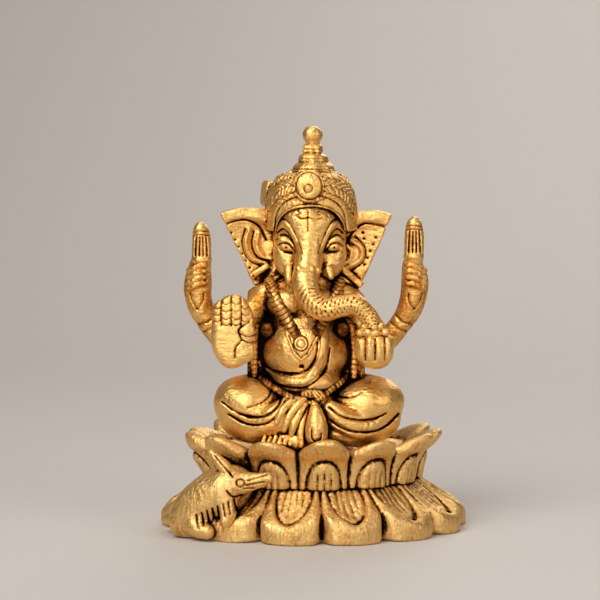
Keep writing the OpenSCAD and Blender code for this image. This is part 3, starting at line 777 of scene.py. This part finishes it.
def trunk(p):
    """The trunk, chased along its back like a fishbone, smooth beneath, with a row of beads at its root."""
    near, along = trunk_shape(p)
    path = smooth_path(TRUNK, 10)
    at = along * (len(path) - 1)
    low = np.clip(at.astype(int), 0, len(path) - 2)
    f = (at - low)[:, None]
    centre = path[low, :3] * (1 - f) + path[low + 1, :3] * f
    heading = path[np.minimum(low + 3, len(path) - 1), :3] - path[np.maximum(low - 2, 0), :3]
    heading /= np.maximum(length(heading), 1e-6)[:, None]
    upward = np.stack([heading[:, 2], 0 * f[:, 0], -heading[:, 0]], axis=1)
    upward /= np.maximum(length(upward), 1e-6)[:, None]
    radius = path[low, 3]
    lift = np.einsum("ij,ij->i", p - centre, upward) / radius
    spine = np.abs(lift + 0.1)
    turns = along * 34 - spine * 0.9
    stroke_off = turns % 1 - 0.5
    on_back = unit((0.85 - spine) / 0.15) * unit((spine - 0.05) / 0.05)
    on_back = on_back * unit((along - 0.36) / 0.03)
    on_back = on_back * unit((centre[:, 1] - p[:, 1]) / radius + 0.4)
    d = join(face(p), near, 2.2) - 0.05
    ink_and_painted_shade.clear()
    d = np.maximum(d, near - 0.7)
    d = np.maximum(d, p[:, 2] + 5.9)
    d = chase(d, bell(stroke_off, 0.19) * on_back, 0.26, 0.9)
    for k in range(4):
        x = -2.3 + 1.5 * k
        y = -10.5 - math.sqrt(3.3 ** 2 - (x + 0.3) ** 2)
        d = join(d, length(p - vec(x, y, -6.6 - 0.4 * (k % 2))) - (1.05 - 0.2 * (k % 2)), 0.2)
    return d


def tusk_shape(p, root, tip, thick):
    return limb(p, [(*root, thick), (*tip, thick * 0.72)])


def right_tusk(p):
    return tusk_shape(p, (-4.9, -8.6, -6.8), (-4.8, -10.1, -9.2), 1.35)


def left_tusk(p):
    return tusk_shape(p, (4.9, -8.6, -7), (5.3, -9.6, -8.6), 1.1)


def ear(p, side, corners, roll, dots):
    """A fan-shaped ear: rolled upper edge, punched dots, crescent folds inside, locks of hair below."""
    q = p.copy()
    q[:, 0] *= side
    out = np.clip(q[:, 0] - 9, 0, None)
    y = q[:, 1] - 0.4 + 0.02 * out * out - 0.12 * out
    flat = polygon(q[:, [0, 2]], corners) - 0.3
    d = clip_to(np.abs(y) - 0.8, flat, 0.6)
    bowl = bell(q[:, 0] - 11, 3.4) * bell(q[:, 2] - 0.5, 4.2)
    d = d + 0.4 * bowl * (y < 0)
    d = join(d, limb(q, roll), 2.2)
    for spot in dots:
        r = np.hypot(q[:, 0] - spot[0], q[:, 2] - spot[1])
        d = chase(d, bell(r, 0.36, 4) * (y < 0.2), 0.35, 1.2)
    top, foot_of = np.array(corners[3]), np.array(corners[-2])
    edge = (top - foot_of) / np.hypot(*(top - foot_of))
    beyond = (q[:, 0] - top[0]) * edge[1] - (q[:, 2] - top[1]) * edge[0]
    d = clip_to(d, beyond - 0.4, 0.9)
    # painted shade on the ear next to the head and along its lower part
    shade = bell(q[:, 0] - 8.6, 2.2) * bell(q[:, 2] - 1.8, 2.6) + unit((-6.5 - q[:, 2]) / 2)
    ink_and_painted_shade.append(0.5 * unit(shade))
    d = join(d, limb(q, [(6.6, 1, -5, 2.4), (8.4, 0.4, -9.6, 2.6), (9.6, -0.4, -13.2, 2.2)]), 0.4)
    for k in range(3):
        lock = [(5.6 + 0.3 * k, -1.6, -8 - 1.5 * k, 0.7), (8.6 + 0.1 * k, -2.3, -10 - 1.5 * k, 0.75),
                (10.9 - 0.1 * k, -1.4, -11.6 - 1.4 * k, 0.7)]
        d = join(d, limb(q, lock, 3), 0.15)
    return d, q


def right_ear(p):
    corners = [(6.4, 4.8), (12, 6.9), (16.5, 7.2), (21.7, 6.3), (17.6, -2.6), (13.6, -11.4), (5.6, -8.6)]
    roll = [(8, 0, 4, 1), (12.4, -0.1, 5.7, 1.2), (17, -0.1, 6.1, 1.1), (21.6, 0, 5.5, 0.7)]
    dots = [(19.2 - 0.9 * k, 1.6 - 1.75 * k) for k in range(7)]
    d, q = ear(p, -1, corners, roll, dots)
    d = front_lines(q, d, 0.28, 0.4, 2, [(20.8, 3.6), (18.6, 4.5), (15.4, 4.8), (12.4, 3.2), (10.6, -0.2)])
    d = front_ridges(q, d, 0.6, 0.7, 2, [(14.8, 2.4), (15.6, -1), (14.2, -4.6), (10.6, -6)])
    d = front_ridges(q, d, 0.6, 0.6, 2, [(12.4, 1.4), (12.9, -1.6), (11.6, -4.2), (9.6, -4.8)])
    d = front_lines(q, d, 0.22, 0.3, 2, [(15.8, 2.6), (16.6, -1), (15.1, -5), (11.8, -6.8)])
    d = front_lines(q, d, 0.22, 0.35, 2, [(13.7, 2), (14.2, -1.4), (12.9, -4.4), (10, -5.4)])
    strap = slab(q, (12.2, -1.5, -7.8), (2.8, 1.1, 0.8), (0, 34, 0), 0.5)
    return join(d, strap, 0.5)


def left_ear(p):
    corners = [(6.6, 4.4), (12, 6.3), (16, 6.5), (20.3, 5.7), (17.2, -2.6), (12.2, -12.6), (5.4, -9)]
    roll = [(8.2, 0, 3.6, 1), (12.4, -0.2, 5, 1.3), (16.6, -0.1, 5.4, 1.2), (20.2, 0, 4.9, 0.7)]
    dots = [(16.6 - 0.7 * k, 0.4 - 1.7 * k) for k in range(5)] + [(13.4, 1.6), (13.7, 0.1)]
    d, q = ear(p, 1, corners, roll, dots)
    d = front_lines(q, d, 0.3, 0.45, 2, [(19.2, 3), (17, 3.6), (13.6, 3.9), (11, 2), (9.8, 0)])
    d = front_ridges(q, d, 0.6, 0.7, 2, [(10.6, -0.2), (13, -2.2), (12.8, -5), (9.6, -7)])
    d = front_ridges(q, d, 0.5, 0.5, 2, [(9.4, -1.6), (10.6, -3), (10.2, -5), (8.6, -6)])
    d = front_lines(q, d, 0.22, 0.3, 2, [(11.4, 0.8), (13.9, -2), (13.7, -5.4), (10.4, -8)])
    strap = slab(q, (10.2, -1.7, -8.9), (4, 1.1, 0.85), (0, 40, 0), 0.5)
    return join(d, strap, 0.5)


# ---------------------------------------------------------------- crown

def face_opening(p):
    """The arch the face looks out of: rounder at the corners than a circle, so flatter on top."""
    share = np.abs((p - vec(0.3, -8.6, -0.6)) / vec(8.9, 9.6, 9.1)) ** 2.45
    return (share.sum(axis=1) ** (1 / 2.45) - 1) * 9


def crown(p):
    """A domed cap chased all over with slanting strokes, with a smooth crescent over the brow."""
    wide = np.hypot(p[:, 0] - 0.6, (p[:, 1] - 0.6) * 1.13)
    shape = (((wide / 11.6) ** 2.8 + (np.abs(p[:, 2] - 4.4) / 13.4) ** 2.8) ** (1 / 2.8) - 1) * 9.5
    shape = clip_to(shape, p[:, 2] - 17.2, 1.6)
    opening = face_opening(p)
    out = np.clip(opening, 0, None)
    turn = np.arctan2(p[:, 0] - 0.3, p[:, 2] + 0.6)
    uneven = 0.25 * np.sin(turn * 9) + 0.2 * np.sin(p[:, 2] * 1.3 + p[:, 0])
    arc = np.abs(turn) * 11 + uneven
    band = out / 1.8 + 0.15 * uneven
    row = np.floor(band)
    slant = arc + (0.9 - 1.8 * (row % 2)) * 1.8 * (band - row)
    strokes = bell((slant / 0.98) % 1 - 0.5, 0.2)
    rows = bell(np.abs(band % 1 - 0.5) - 0.5, 0.1)
    worked = unit((out - 2.6) / 0.2)
    d = chase(shape, strokes * worked, 0.2, 0.55)
    d = chase(d, rows * worked, 0.2, 0.5)
    crescent = 2.7 * np.clip(1 - (turn / 1.25) ** 2, 0.2, 1)
    d = groove(d, out - crescent, 0.26, 0.35)
    d = groove(d, out - 0.5, 0.22, 0.2, 0.6)
    d = d + 0.45 * unit((crescent - out) / 0.5) * (out > 0.6)
    d = cut(d, opening, 0.4)
    ring = np.hypot(p[:, 0] - 0.4, p[:, 2] - 13.4)
    reach = 4.7 + 0.7 * np.clip((p[:, 2] - 12) / 3, -1, 0)
    collar = unit((reach - ring) / 0.3) * (p[:, 1] < 0)
    around_it = np.arctan2(p[:, 2] - 13.4, p[:, 0] - 0.4)
    d = d * (1 - collar) + (shape - 0.1) * collar
    d = chase(d, collar * (ring > 3.4) * unit(np.cos(around_it * 20)) ** 2, 0.22, 0.6)
    return clip_to(d, 2.2 - p[:, 2] - 0.25 * np.clip(p[:, 1], 0, 8), 0.4)


def crown_medallion(p):
    """A domed oval boss above the brow, with a curl in its middle."""
    q = turned(p, (0, -9.3, 13.5), (-14, 0, 0))
    r = np.hypot(q[:, 0], q[:, 2] * 0.95)
    dome = np.sqrt(r ** 2 + (q[:, 1] - 6.2) ** 2) - 7.6
    d = clip_to(dome, r - 3.7, 0.5)
    d = clip_to(d, q[:, 1] - 2.5, 0.2)
    d = groove(d, r - 3.25, 0.24, 0.35)
    boss = np.hypot(q[:, 0] + 0.2, q[:, 2] + 0.8)
    d = groove(d, boss - 1.05, 0.2, 0.22)
    return d - 0.3 * bell(boss, 0.6)


def crown_spire(p):
    """Three swelling tiers like a temple roof, each smaller than the one under it."""
    q = p - vec(0.9, 2, 0)
    r = np.hypot(q[:, 0], q[:, 1])
    z = q[:, 2]
    angle = np.arctan2(q[:, 0], q[:, 1])
    d = np.full(len(p), 99, np.float32)
    for base, radius, tall in ((16.2, 6, 2.9), (19, 4.3, 2.3), (21.2, 3.1, 2.6)):
        share = unit((z - base) / tall)
        scallop = 0.6 * np.abs(np.sin(angle * 4 + base)) * (1 - share) + 0.22 * np.sin(angle * 3 + 2 * base)
        side = r - radius * (1 - 0.3 * share ** 1.6) + scallop
        tier = clip_to(side * 0.92, np.abs(z - base - tall / 2) - tall / 2, 1.3)
        tier = chase(tier, bell(z - base - tall * 0.42, 0.25), 0.25, 0.7)
        d = join(d, tier, 0.2)
    return d


def crown_finial(p):
    q = p - vec(0.9, 2, 0)
    d = egg(q, (0, 0, 25.7), (2.5, 2.5, 2.35))
    d = join(d, limb(q, [(0, 0, 22.6, 1.7), (0, 0, 24.4, 1.3)]), 0.5)
    d = join(d, hoop(q, (0, 0, 23.8), 1.5, 0.35), 0.2)
    return clip_to(d, q[:, 2] - 28, 0.2)


def halo_disc(p):
    """A round plate behind the crown, with a flap on its right edge and rays and a rosette on its back."""
    d = disc(p, (0.1, 9.3, 8), 9.9, 0.9, (90, 0, 0), 0.5)
    d = join(d, slab(p, (-9.3, 5.6, 10.8), (2.2, 3.6, 3.4), (0, 8, 14), 1.2), 0.6)
    r = np.hypot(p[:, 0] - 0.1, p[:, 2] - 8)
    angle = np.arctan2(p[:, 2] - 8, p[:, 0] - 0.1)
    back = unit((p[:, 1] - 9.3) / 0.5)
    rays = unit(np.cos(angle * 24)) * unit((r - 5.6) / 1) * unit((8.5 - r) / 0.6)
    d = chase(d, rays * back, 0.35)
    for ring in (8.9, 5.2):
        d = chase(d, back * bell(r - ring, 0.35), 0.4)
    petal = np.abs(np.cos(angle * 4))
    return chase(d, back * bell(r - 2 - 2.1 * petal, 0.3), 0.35)


# ---------------------------------------------------------------- arms

def rear_arm(q, lean):
    """An arm raised behind the shoulder, its fingers closed round the emblem's stem, with an armlet."""
    path = [(9, 6, 20.9, 3.6), (13, 8, 13.4, 3.4), (16.8, 8.4, 8.8, 3.1), (20.2, 8.4, 10.3, 2.9),
            (23.2, 8.2, 13.8, 2.9), (25.4, 8, 17.2, 3), (26.7, 7.7, 21, 3.35), (27, 7.4, 25.2, 3.45),
            (26.5, 7.1, 29.6, 2.6)]
    q = q - np.stack([lean * unit((q[:, 2] - 8) / 17), 0 * q[:, 0], 0 * q[:, 0]], axis=1)
    d = limb(q, path)
    # painted shade, evenly over the whole arm behind the shoulder
    ink_and_painted_shade.append(np.full(len(q), 0.48, np.float32))
    for row in range(4):
        z = 24.6 + 1.5 * row
        finger = limb(q, [(24.6, 5.2, z + 1, 0.75), (26.6, 3.9, z + 0.5, 0.85), (29.2, 5, z - 0.7, 0.8)], 3)
        d = join(d, finger, 0.2)
        for k in range(3):
            d = join(d, length(q - vec(25.2 + 1.4 * k, 3.9, z + 0.7 - 0.4 * k)) - 0.62, 0.15)
    d = front_lines(q, d, 0.28, 0.45, 9,
                    [(22.4, 17.4), (24.2, 15.6), (27.4, 14.6)], [(21, 15.8), (23, 13.9), (26, 12.8)])
    return front_lines(q, d, 0.26, 0.35, 9,
                       [(28.8, 22.8), (28.3, 20.8), (27, 18.8)], [(25.4, 22.6), (25.6, 20.6), (27, 18.8)])


def emblem(q, x, z, tall):
    """A fluted stem that ends in a rounded tip, held upright in the hand."""
    d = limb(q, [(x, 6.6, z - 7, 1.5), (x, 6.6, z, 2.5), (x + 0.1, 6.6, z + tall - 3.4, 2.2),
                 (x + 0.2, 6.6, z + tall - 1.5, 1.4)])
    for flute in (-1.3, -0.4, 0.5, 1.4):
        line = [(x + flute * 1.1, z + 1.4), (x + flute * 0.9, z + tall - 3.8)]
        d = front_lines(q, d, 0.24, 0.45, 7, line, ink=1.2)
    for ring in (3.2, 2.3):
        tip = [(x - 2.2, z + tall - ring - 0.3), (x, z + tall - ring), (x + 2.2, z + tall - ring - 0.3)]
        d = front_lines(q, d, 0.22, 0.25, 7, tip)
    return join(d, egg(q, (x, 6.4, z + 0.2), (2.6, 2.6, 1)), 0.4)


def mirrored(p):
    q = p.copy()
    q[:, 0] *= -1
    return q


def right_rear_arm(p):
    return rear_arm(mirrored(p), -0.3)


def left_rear_arm(p):
    return rear_arm(p, 0.7)


def right_held_emblem(p):
    return emblem(mirrored(p), 25.7, 30.8, 9.8)


def left_held_emblem(p):
    return emblem(p, 27.4, 31.6, 10.4)


def upper_arm_shade(out, p):
    """How much painted shade an upper arm has on the side towards the body."""
    return 0.8 * unit((14.2 - out) / 2) * unit((25 - p[:, 2]) / 3) * (p[:, 1] > -11)


def right_front_arm(p):
    """The open right hand: broad flat palm, four fingers together with their creases, and folded thumb."""
    d = limb(p, [(-9.6, 0, 21.9, 3.9), (-14.4, -1.4, 15.6, 3.8), (-17, -4, 10.6, 3.8), (-17, -10.5, 10, 3.4)])
    ink_and_painted_shade.append(upper_arm_shade(-p[:, 0], p))
    outline = [(-22.6, 18.6), (-22.2, 21.2), (-20.6, 22.9), (-18.8, 24), (-17, 24.4), (-14.6, 23.4),
               (-12.9, 21), (-12.1, 17), (-12, 13), (-12.9, 9.4), (-15.2, 6.9), (-17.8, 6.1), (-20.2, 7.2),
               (-21.9, 9.8), (-22.6, 14)]
    hand = polygon(p[:, [0, 2]], rounded(outline))
    swell = 0.022 * (p[:, 0] + 17.2) ** 2 + 0.008 * (p[:, 2] - 13) ** 2
    palm = clip_to(np.abs(p[:, 1] + 15.6) - 2.4 + swell, hand, 1.8)
    d = join(d, palm, 1.2)
    d = join(d, egg(p, (-14, -17, 14.6), (2.2, 1.3, 3)), 0.25)
    d = join(d, egg(p, (-14.4, -16.8, 10.4), (2.4, 1.2, 2.6)), 0.6)
    for x, top, lean in ((-20.2, 23.2, 1), (-17.7, 24, 0), (-15.2, 23.4, -1)):
        between = [(x + 0.2 * lean, top), (x, 20), (x + 0.15 * lean, 16.8)]
        d = front_lines(p, d, 0.24, 0.24, -12, between, ink=1.1)
    long, short = (22, 20.2, 18.4, 17), (20.9, 19.3, 17.8)
    for x, creases in ((-21.2, short), (-18.95, long), (-16.45, long), (-14.2, short)):
        for z in creases:
            crease = [(x - 1, z + 0.3), (x, z - 0.15), (x + 1, z + 0.3)]
            d = front_lines(p, d, 0.22, 0.14, -12, crease, ink=0.9)
    return front_lines(p, d, 0.24, 0.28, -12,
                       [(-13.4, 17.6), (-15.9, 15.8), (-15.2, 13.4)],
                       [(-15.2, 13.2), (-16.7, 11.3), (-16.8, 9)],
                       [(-15.3, 14.7), (-13.6, 14.1), (-11.8, 14.6)],
                       [(-14.8, 13.2), (-13.4, 12.6), (-11.8, 13)])


def left_front_arm(p):
    """The left hand, closed upward under the sweets: four fingers and the heel of the hand."""
    d = limb(p, [(9.6, 0, 21.7, 3.9), (15.4, -1.4, 15.6, 3.8), (18, -4, 10.6, 3.8), (17, -10.5, 10, 3.2)])
    ink_and_painted_shade.append(upper_arm_shade(p[:, 0], p))
    outline = [(12.2, 13.8), (12, 10.5), (13, 7.8), (15.2, 6.2), (18.4, 6), (20.7, 7.6), (21.7, 10.4),
               (21.5, 13.8), (17, 14.8)]
    fist = polygon(p[:, [0, 2]], rounded(outline))
    ripple = 0.35 * np.abs(np.sin((p[:, 0] - 12.4) * math.pi / 2.3)) * unit((p[:, 2] - 7.6) / 1.5)
    swell = 0.03 * (p[:, 0] - 16.8) ** 2 + 0.05 * (p[:, 2] - 11) ** 2
    block = clip_to(np.abs(p[:, 1] + 15) - 3.6 - ripple + swell, fist, 2)
    d = join(d, block, 1)
    for x in (14.7, 17, 19.3):
        d = front_lines(p, d, 0.22, 0.28, -14, [(x, 13.6), (x + 0.03 * (x - 17), 11), (x, 8.4)])
    return d


def modak(p):
    """The sweets: small round balls in three rows on the closed hand."""
    d = egg(p, (16.4, -15.4, 14.8), (3.8, 2.8, 1.5))
    for z, y, count in ((15.1, -17.2, 4), (16.4, -16.8, 3), (17.2, -15.2, 2)):
        for k in range(count):
            x = 16.4 + (k - (count - 1) / 2) * 2
            d = join(d, egg(p, (x, y, z), (1.15, 1.2, 1)), 0.15)
    return d


# ---------------------------------------------------------------- casting every piece

# the point that fields are measured from, then each field, which bears its node's name, and its grid spacing
PIECES = (
    (THRONE, ((lower_lotus, 0.46),)),
    (THRONE + vec(0, 0, SEAM), ((upper_lotus, COARSE),)),
    (foot("mouse")[0], ((mouse, 0.23),)),
    (LAP, ((hips, 0.5), (right_leg, 0.32), (left_leg, 0.32), (right_foot, FINE), (left_foot, FINE))),
    (BODY, ((torso, 0.34), (sacred_thread, MEDIUM), (garland, FINE), (pendant, FINE), (waist_belt, MEDIUM))),
    (HEAD, ((head, 0.24), (trunk, 0.18), (right_tusk, MEDIUM), (left_tusk, MEDIUM), (right_ear, FINE),
            (left_ear, FINE), (crown, 0.23), (crown_medallion, FINE), (crown_spire, MEDIUM),
            (crown_finial, MEDIUM), (halo_disc, COARSE))),
    (BODY, ((right_rear_arm, MEDIUM), (left_rear_arm, MEDIUM), (right_held_emblem, FINE),
            (left_held_emblem, FINE), (right_front_arm, FINE), (left_front_arm, 0.26), (modak, FINE))),
)
MARGIN = 2.5  # how far round its CAD box a piece is sculpted, mm
WIDER = {"waist_belt": 5, "head": 5, "right_foot": 7, "halo_disc": 6}  # the pieces that reach further
for at, fields in PIECES:
    for field, spacing in fields:
        node = field.__name__
        shift = foot(node)[0] - at
        cast(node, lambda p, field=field, shift=shift: field(p + shift), spacing, WIDER.get(node, MARGIN))


# ---------------------------------------------------------------- materials

def metal(name):
    """A new metallic material: its node tree, a function that adds a node to it, and its shader."""
    material = bpy.data.materials.new(name)
    material.use_nodes = True
    tree = material.node_tree
    shader = tree.nodes["Principled BSDF"]
    shader.inputs["Metallic"].default_value = 1.0

    def make(kind, op=None, **values):
        node = tree.nodes.new(kind)
        if op:
            node.operation = op
        for socket, value in values.items():
            node.inputs[socket].default_value = value
        return node

    return material, tree, make, shader


def brass(name, bright, warm, dark, roughness, patina, streak):
    """Hand-finished brass: bright on the high places, warm in the hollows and near-black in the deepest ones
    as its patina, with painted shade from the line layer and painted warm shade where other metal hems a
    place in.
    """
    material, tree, make, shader = metal(name)
    link = tree.links.new
    place = make("ShaderNodeTexCoord")
    signals = {}
    for key in ("line", "groove", "near", "far"):
        attribute = make("ShaderNodeAttribute")
        attribute.attribute_name = key
        signals[key] = attribute.outputs["Fac"]

    def math_node(op, a, b):
        n = make("ShaderNodeMath", op=op)
        for socket, value in zip(n.inputs, (a, b)):
            if isinstance(value, (int, float)):
                socket.default_value = value
            else:
                link(value, socket)
        return n.outputs[0]

    def above(signal, level, gain):
        return math_node("MULTIPLY", math_node("SUBTRACT", signal, level), gain)

    def total(*terms):
        result = terms[0]
        for term in terms[1:]:
            result = math_node("ADD", result, term)
        return result

    def clamped(signal, low, high):
        n = make("ShaderNodeClamp", Min=low, Max=high)
        link(signal, n.inputs["Value"])
        return n.outputs[0]

    def noise(scale, detail, stretch=(1, 1, 1)):
        mapping = make("ShaderNodeMapping", Scale=stretch)
        link(place.outputs["Object"], mapping.inputs["Vector"])
        n = make("ShaderNodeTexNoise", Scale=scale, Detail=detail)
        link(mapping.outputs[0], n.inputs["Vector"])
        return n.outputs["Fac"]

    blotches = noise(260, 4)
    grit = noise(1500, 4)
    brushed = noise(1300, 3, streak)
    # how hemmed in by other metal a place is: patina in crevices, and painted warm shade where the metal is
    # partly shut in
    hemmed = total(above(signals["far"], 0.36, 2.4), above(signals["near"], 0.3, 1.4))
    shape = clamped(total(above(signals["groove"], 0, 2.2), hemmed), -0.25, 2)
    # the line layer adds the chased lines' ink and the painted shade of the chest, webs, upper arms, rear
    # arms and ears
    marked = total(shape, above(signals["line"], 0, 0.8))
    speckle = total(above(blotches, 0.5, 2.0), above(grit, 0.5, 2.2), above(brushed, 0.5, 1.6))
    share = clamped(above(shape, -0.6, 1), 0.3, 1)
    # patina and painted shade, with random tone, which the colour ramp turns into colour
    patina_and_painted_shade = total(clamped(marked, -0.1, 2), patina, math_node("MULTIPLY", speckle, share))
    ramp = make("ShaderNodeValToRGB")
    stops = [(0.0, bright), (0.08, bright), (0.34, warm), (0.68, dark), (1.0, (0.012, 0.006, 0.003))]
    while len(ramp.color_ramp.elements) < len(stops):
        ramp.color_ramp.elements.new(0.5)
    for element, (position, colour) in zip(ramp.color_ramp.elements, stops):
        element.position = position
        element.color = (*colour, 1)
    link(patina_and_painted_shade, ramp.inputs["Fac"])
    link(ramp.outputs["Color"], shader.inputs["Base Color"])
    rough = total(above(patina_and_painted_shade, 0, 0.2), above(brushed, 0.5, 0.35), roughness)
    link(clamped(rough, 0.3, 0.85), shader.inputs["Roughness"])
    height = total(above(noise(620, 3), 0, 0.4), above(brushed, 0, 0.4), above(grit, 0, 0.2))
    bump = make("ShaderNodeBump", Strength=0.65, Distance=0.0009)
    link(height, bump.inputs["Height"])
    link(bump.outputs[0], shader.inputs["Normal"])
    return material


# the warm colour is patina, and also painted warm shade where other metal hems a place in
BRASSES = {  # bright, warm and dark colour, roughness, patina, and how the brush marks are stretched
    "figure": ((0.90, 0.57, 0.195), (0.68, 0.30, 0.05), (0.16, 0.055, 0.013), 0.43, 0.09, (0.2, 1, 1)),
    "throne": ((0.84, 0.56, 0.22), (0.55, 0.29, 0.075), (0.17, 0.08, 0.025), 0.50, 0.16, (1, 1, 0.2)),
    "ornament": ((0.88, 0.56, 0.195), (0.62, 0.29, 0.05), (0.14, 0.05, 0.013), 0.45, 0.11, (1, 1, 0.3)),
}
brass_of = {"brass_" + use: brass(use + "_brass", *looks) for use, looks in BRASSES.items()}
slot_of = {s["node"]: s["material_slot"] for s in frame["record"]["subparts"]}

around = surroundings()
for piece in castings:
    node = piece["node"]
    obj = bpy.data.objects.new(node + "_casting", mesh_of(piece, around))
    bpy.context.collection.objects.link(obj)
    obj.data.materials.append(brass_of[slot_of[node]])
    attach(obj, "root")
    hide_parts(node)


def zinc(name):
    """Plain zinc-plated steel for the bolt and its washer."""
    material, tree, make, shader = metal(name)
    link = tree.links.new
    spots = make("ShaderNodeTexNoise", Scale=900)
    link(make("ShaderNodeTexCoord").outputs["Object"], spots.inputs["Vector"])
    ramp = make("ShaderNodeValToRGB")
    ramp.color_ramp.elements[0].color = (0.42, 0.43, 0.44, 1)
    ramp.color_ramp.elements[1].color = (0.68, 0.69, 0.7, 1)
    link(spots.outputs["Fac"], ramp.inputs["Fac"])
    link(ramp.outputs["Color"], shader.inputs["Base Color"])
    rough = make("ShaderNodeMapRange", **{"To Min": 0.28, "To Max": 0.5})
    link(spots.outputs["Fac"], rough.inputs["Value"])
    link(rough.outputs[0], shader.inputs["Roughness"])
    return material


steel = zinc("fastener_zinc")
for node in ("base_bolt", "bolt_washer"):
    obj = frame["nodes"][node]
    obj.data.materials.clear()
    obj.data.materials.append(steel)


# ---------------------------------------------------------------- stage, light and camera

def stage_floor():
    """A pale sweep: the floor runs back, then curves up behind."""
    back, rise, bend = 0.7, 1.6, 0.35
    profile = [(-2.0, 0.0), (back - bend, 0.0)]
    for k in range(1, 13):
        turn = math.radians(90 * k / 12)
        profile.append((back - bend + bend * math.sin(turn), bend - bend * math.cos(turn)))
    profile.append((back, rise))
    wide = 2.5
    verts = [(x, y, z) for y, z in profile for x in (-wide, wide)]
    faces = [(2 * k, 2 * k + 1, 2 * k + 3, 2 * k + 2) for k in range(len(profile) - 1)]
    mesh = bpy.data.meshes.new("floor")
    mesh.from_pydata(verts, [], faces)
    mesh.polygons.foreach_set("use_smooth", [True] * len(faces))
    floor = bpy.data.objects.new("floor", mesh)
    bpy.context.collection.objects.link(floor)
    material = bpy.data.materials.new("pale_floor")
    material.use_nodes = True
    shader = material.node_tree.nodes["Principled BSDF"]
    shader.inputs["Base Color"].default_value = (0.55, 0.535, 0.52, 1)
    shader.inputs["Roughness"].default_value = 0.7
    mesh.materials.append(material)


def softbox(name, place, target, size, power, colour=(1, 1, 1)):
    light = bpy.data.lights.new(name, "AREA")
    light.shape = "RECTANGLE"
    light.size, light.size_y = size
    light.energy = power
    light.color = colour
    obj = bpy.data.objects.new(name, light)
    obj.location = place
    aim = Vector(target) - Vector(place)
    obj.rotation_euler = aim.to_track_quat("-Z", "Y").to_euler()
    bpy.context.collection.objects.link(obj)


def studio():
    world = bpy.data.worlds.new("studio")
    bpy.context.scene.world = world
    world.use_nodes = True
    background = world.node_tree.nodes["Background"]
    background.inputs["Color"].default_value = (0.46, 0.30, 0.20, 1)
    background.inputs["Strength"].default_value = 0.3
    middle = (0, 0, 0.05)
    softbox("key", (-0.3, -0.4, 0.6), middle, (0.42, 0.42), 3.8, (1, 0.97, 0.92))
    softbox("fill", (0.5, -0.45, 0.35), middle, (0.4, 0.4), 1.3, (1, 0.93, 0.84))
    softbox("front", (-0.15, -0.75, 0.12), middle, (0.5, 0.3), 1.7, (1, 0.95, 0.88))
    softbox("top", (0.05, 0.1, 0.7), middle, (0.4, 0.4), 1)
    softbox("back", (0.2, 0.6, 0.4), middle, (0.4, 0.3), 1.2, (1, 0.95, 0.9))
    bpy.context.scene.view_settings.view_transform = "Standard"


def camera():
    """A long lens from the front, a little above the figure."""
    data = bpy.data.cameras.new("camera")
    data.sensor_width = 36
    data.lens = 151
    data.clip_start = 0.01
    obj = bpy.data.objects.new("camera", data)
    obj.location = (-0.0035, -0.6276, 0.1114)
    obj.rotation_euler = (math.radians(90 - 5), 0, 0)
    bpy.context.collection.objects.link(obj)
    bpy.context.scene.camera = obj


stage_floor()
studio()
camera()
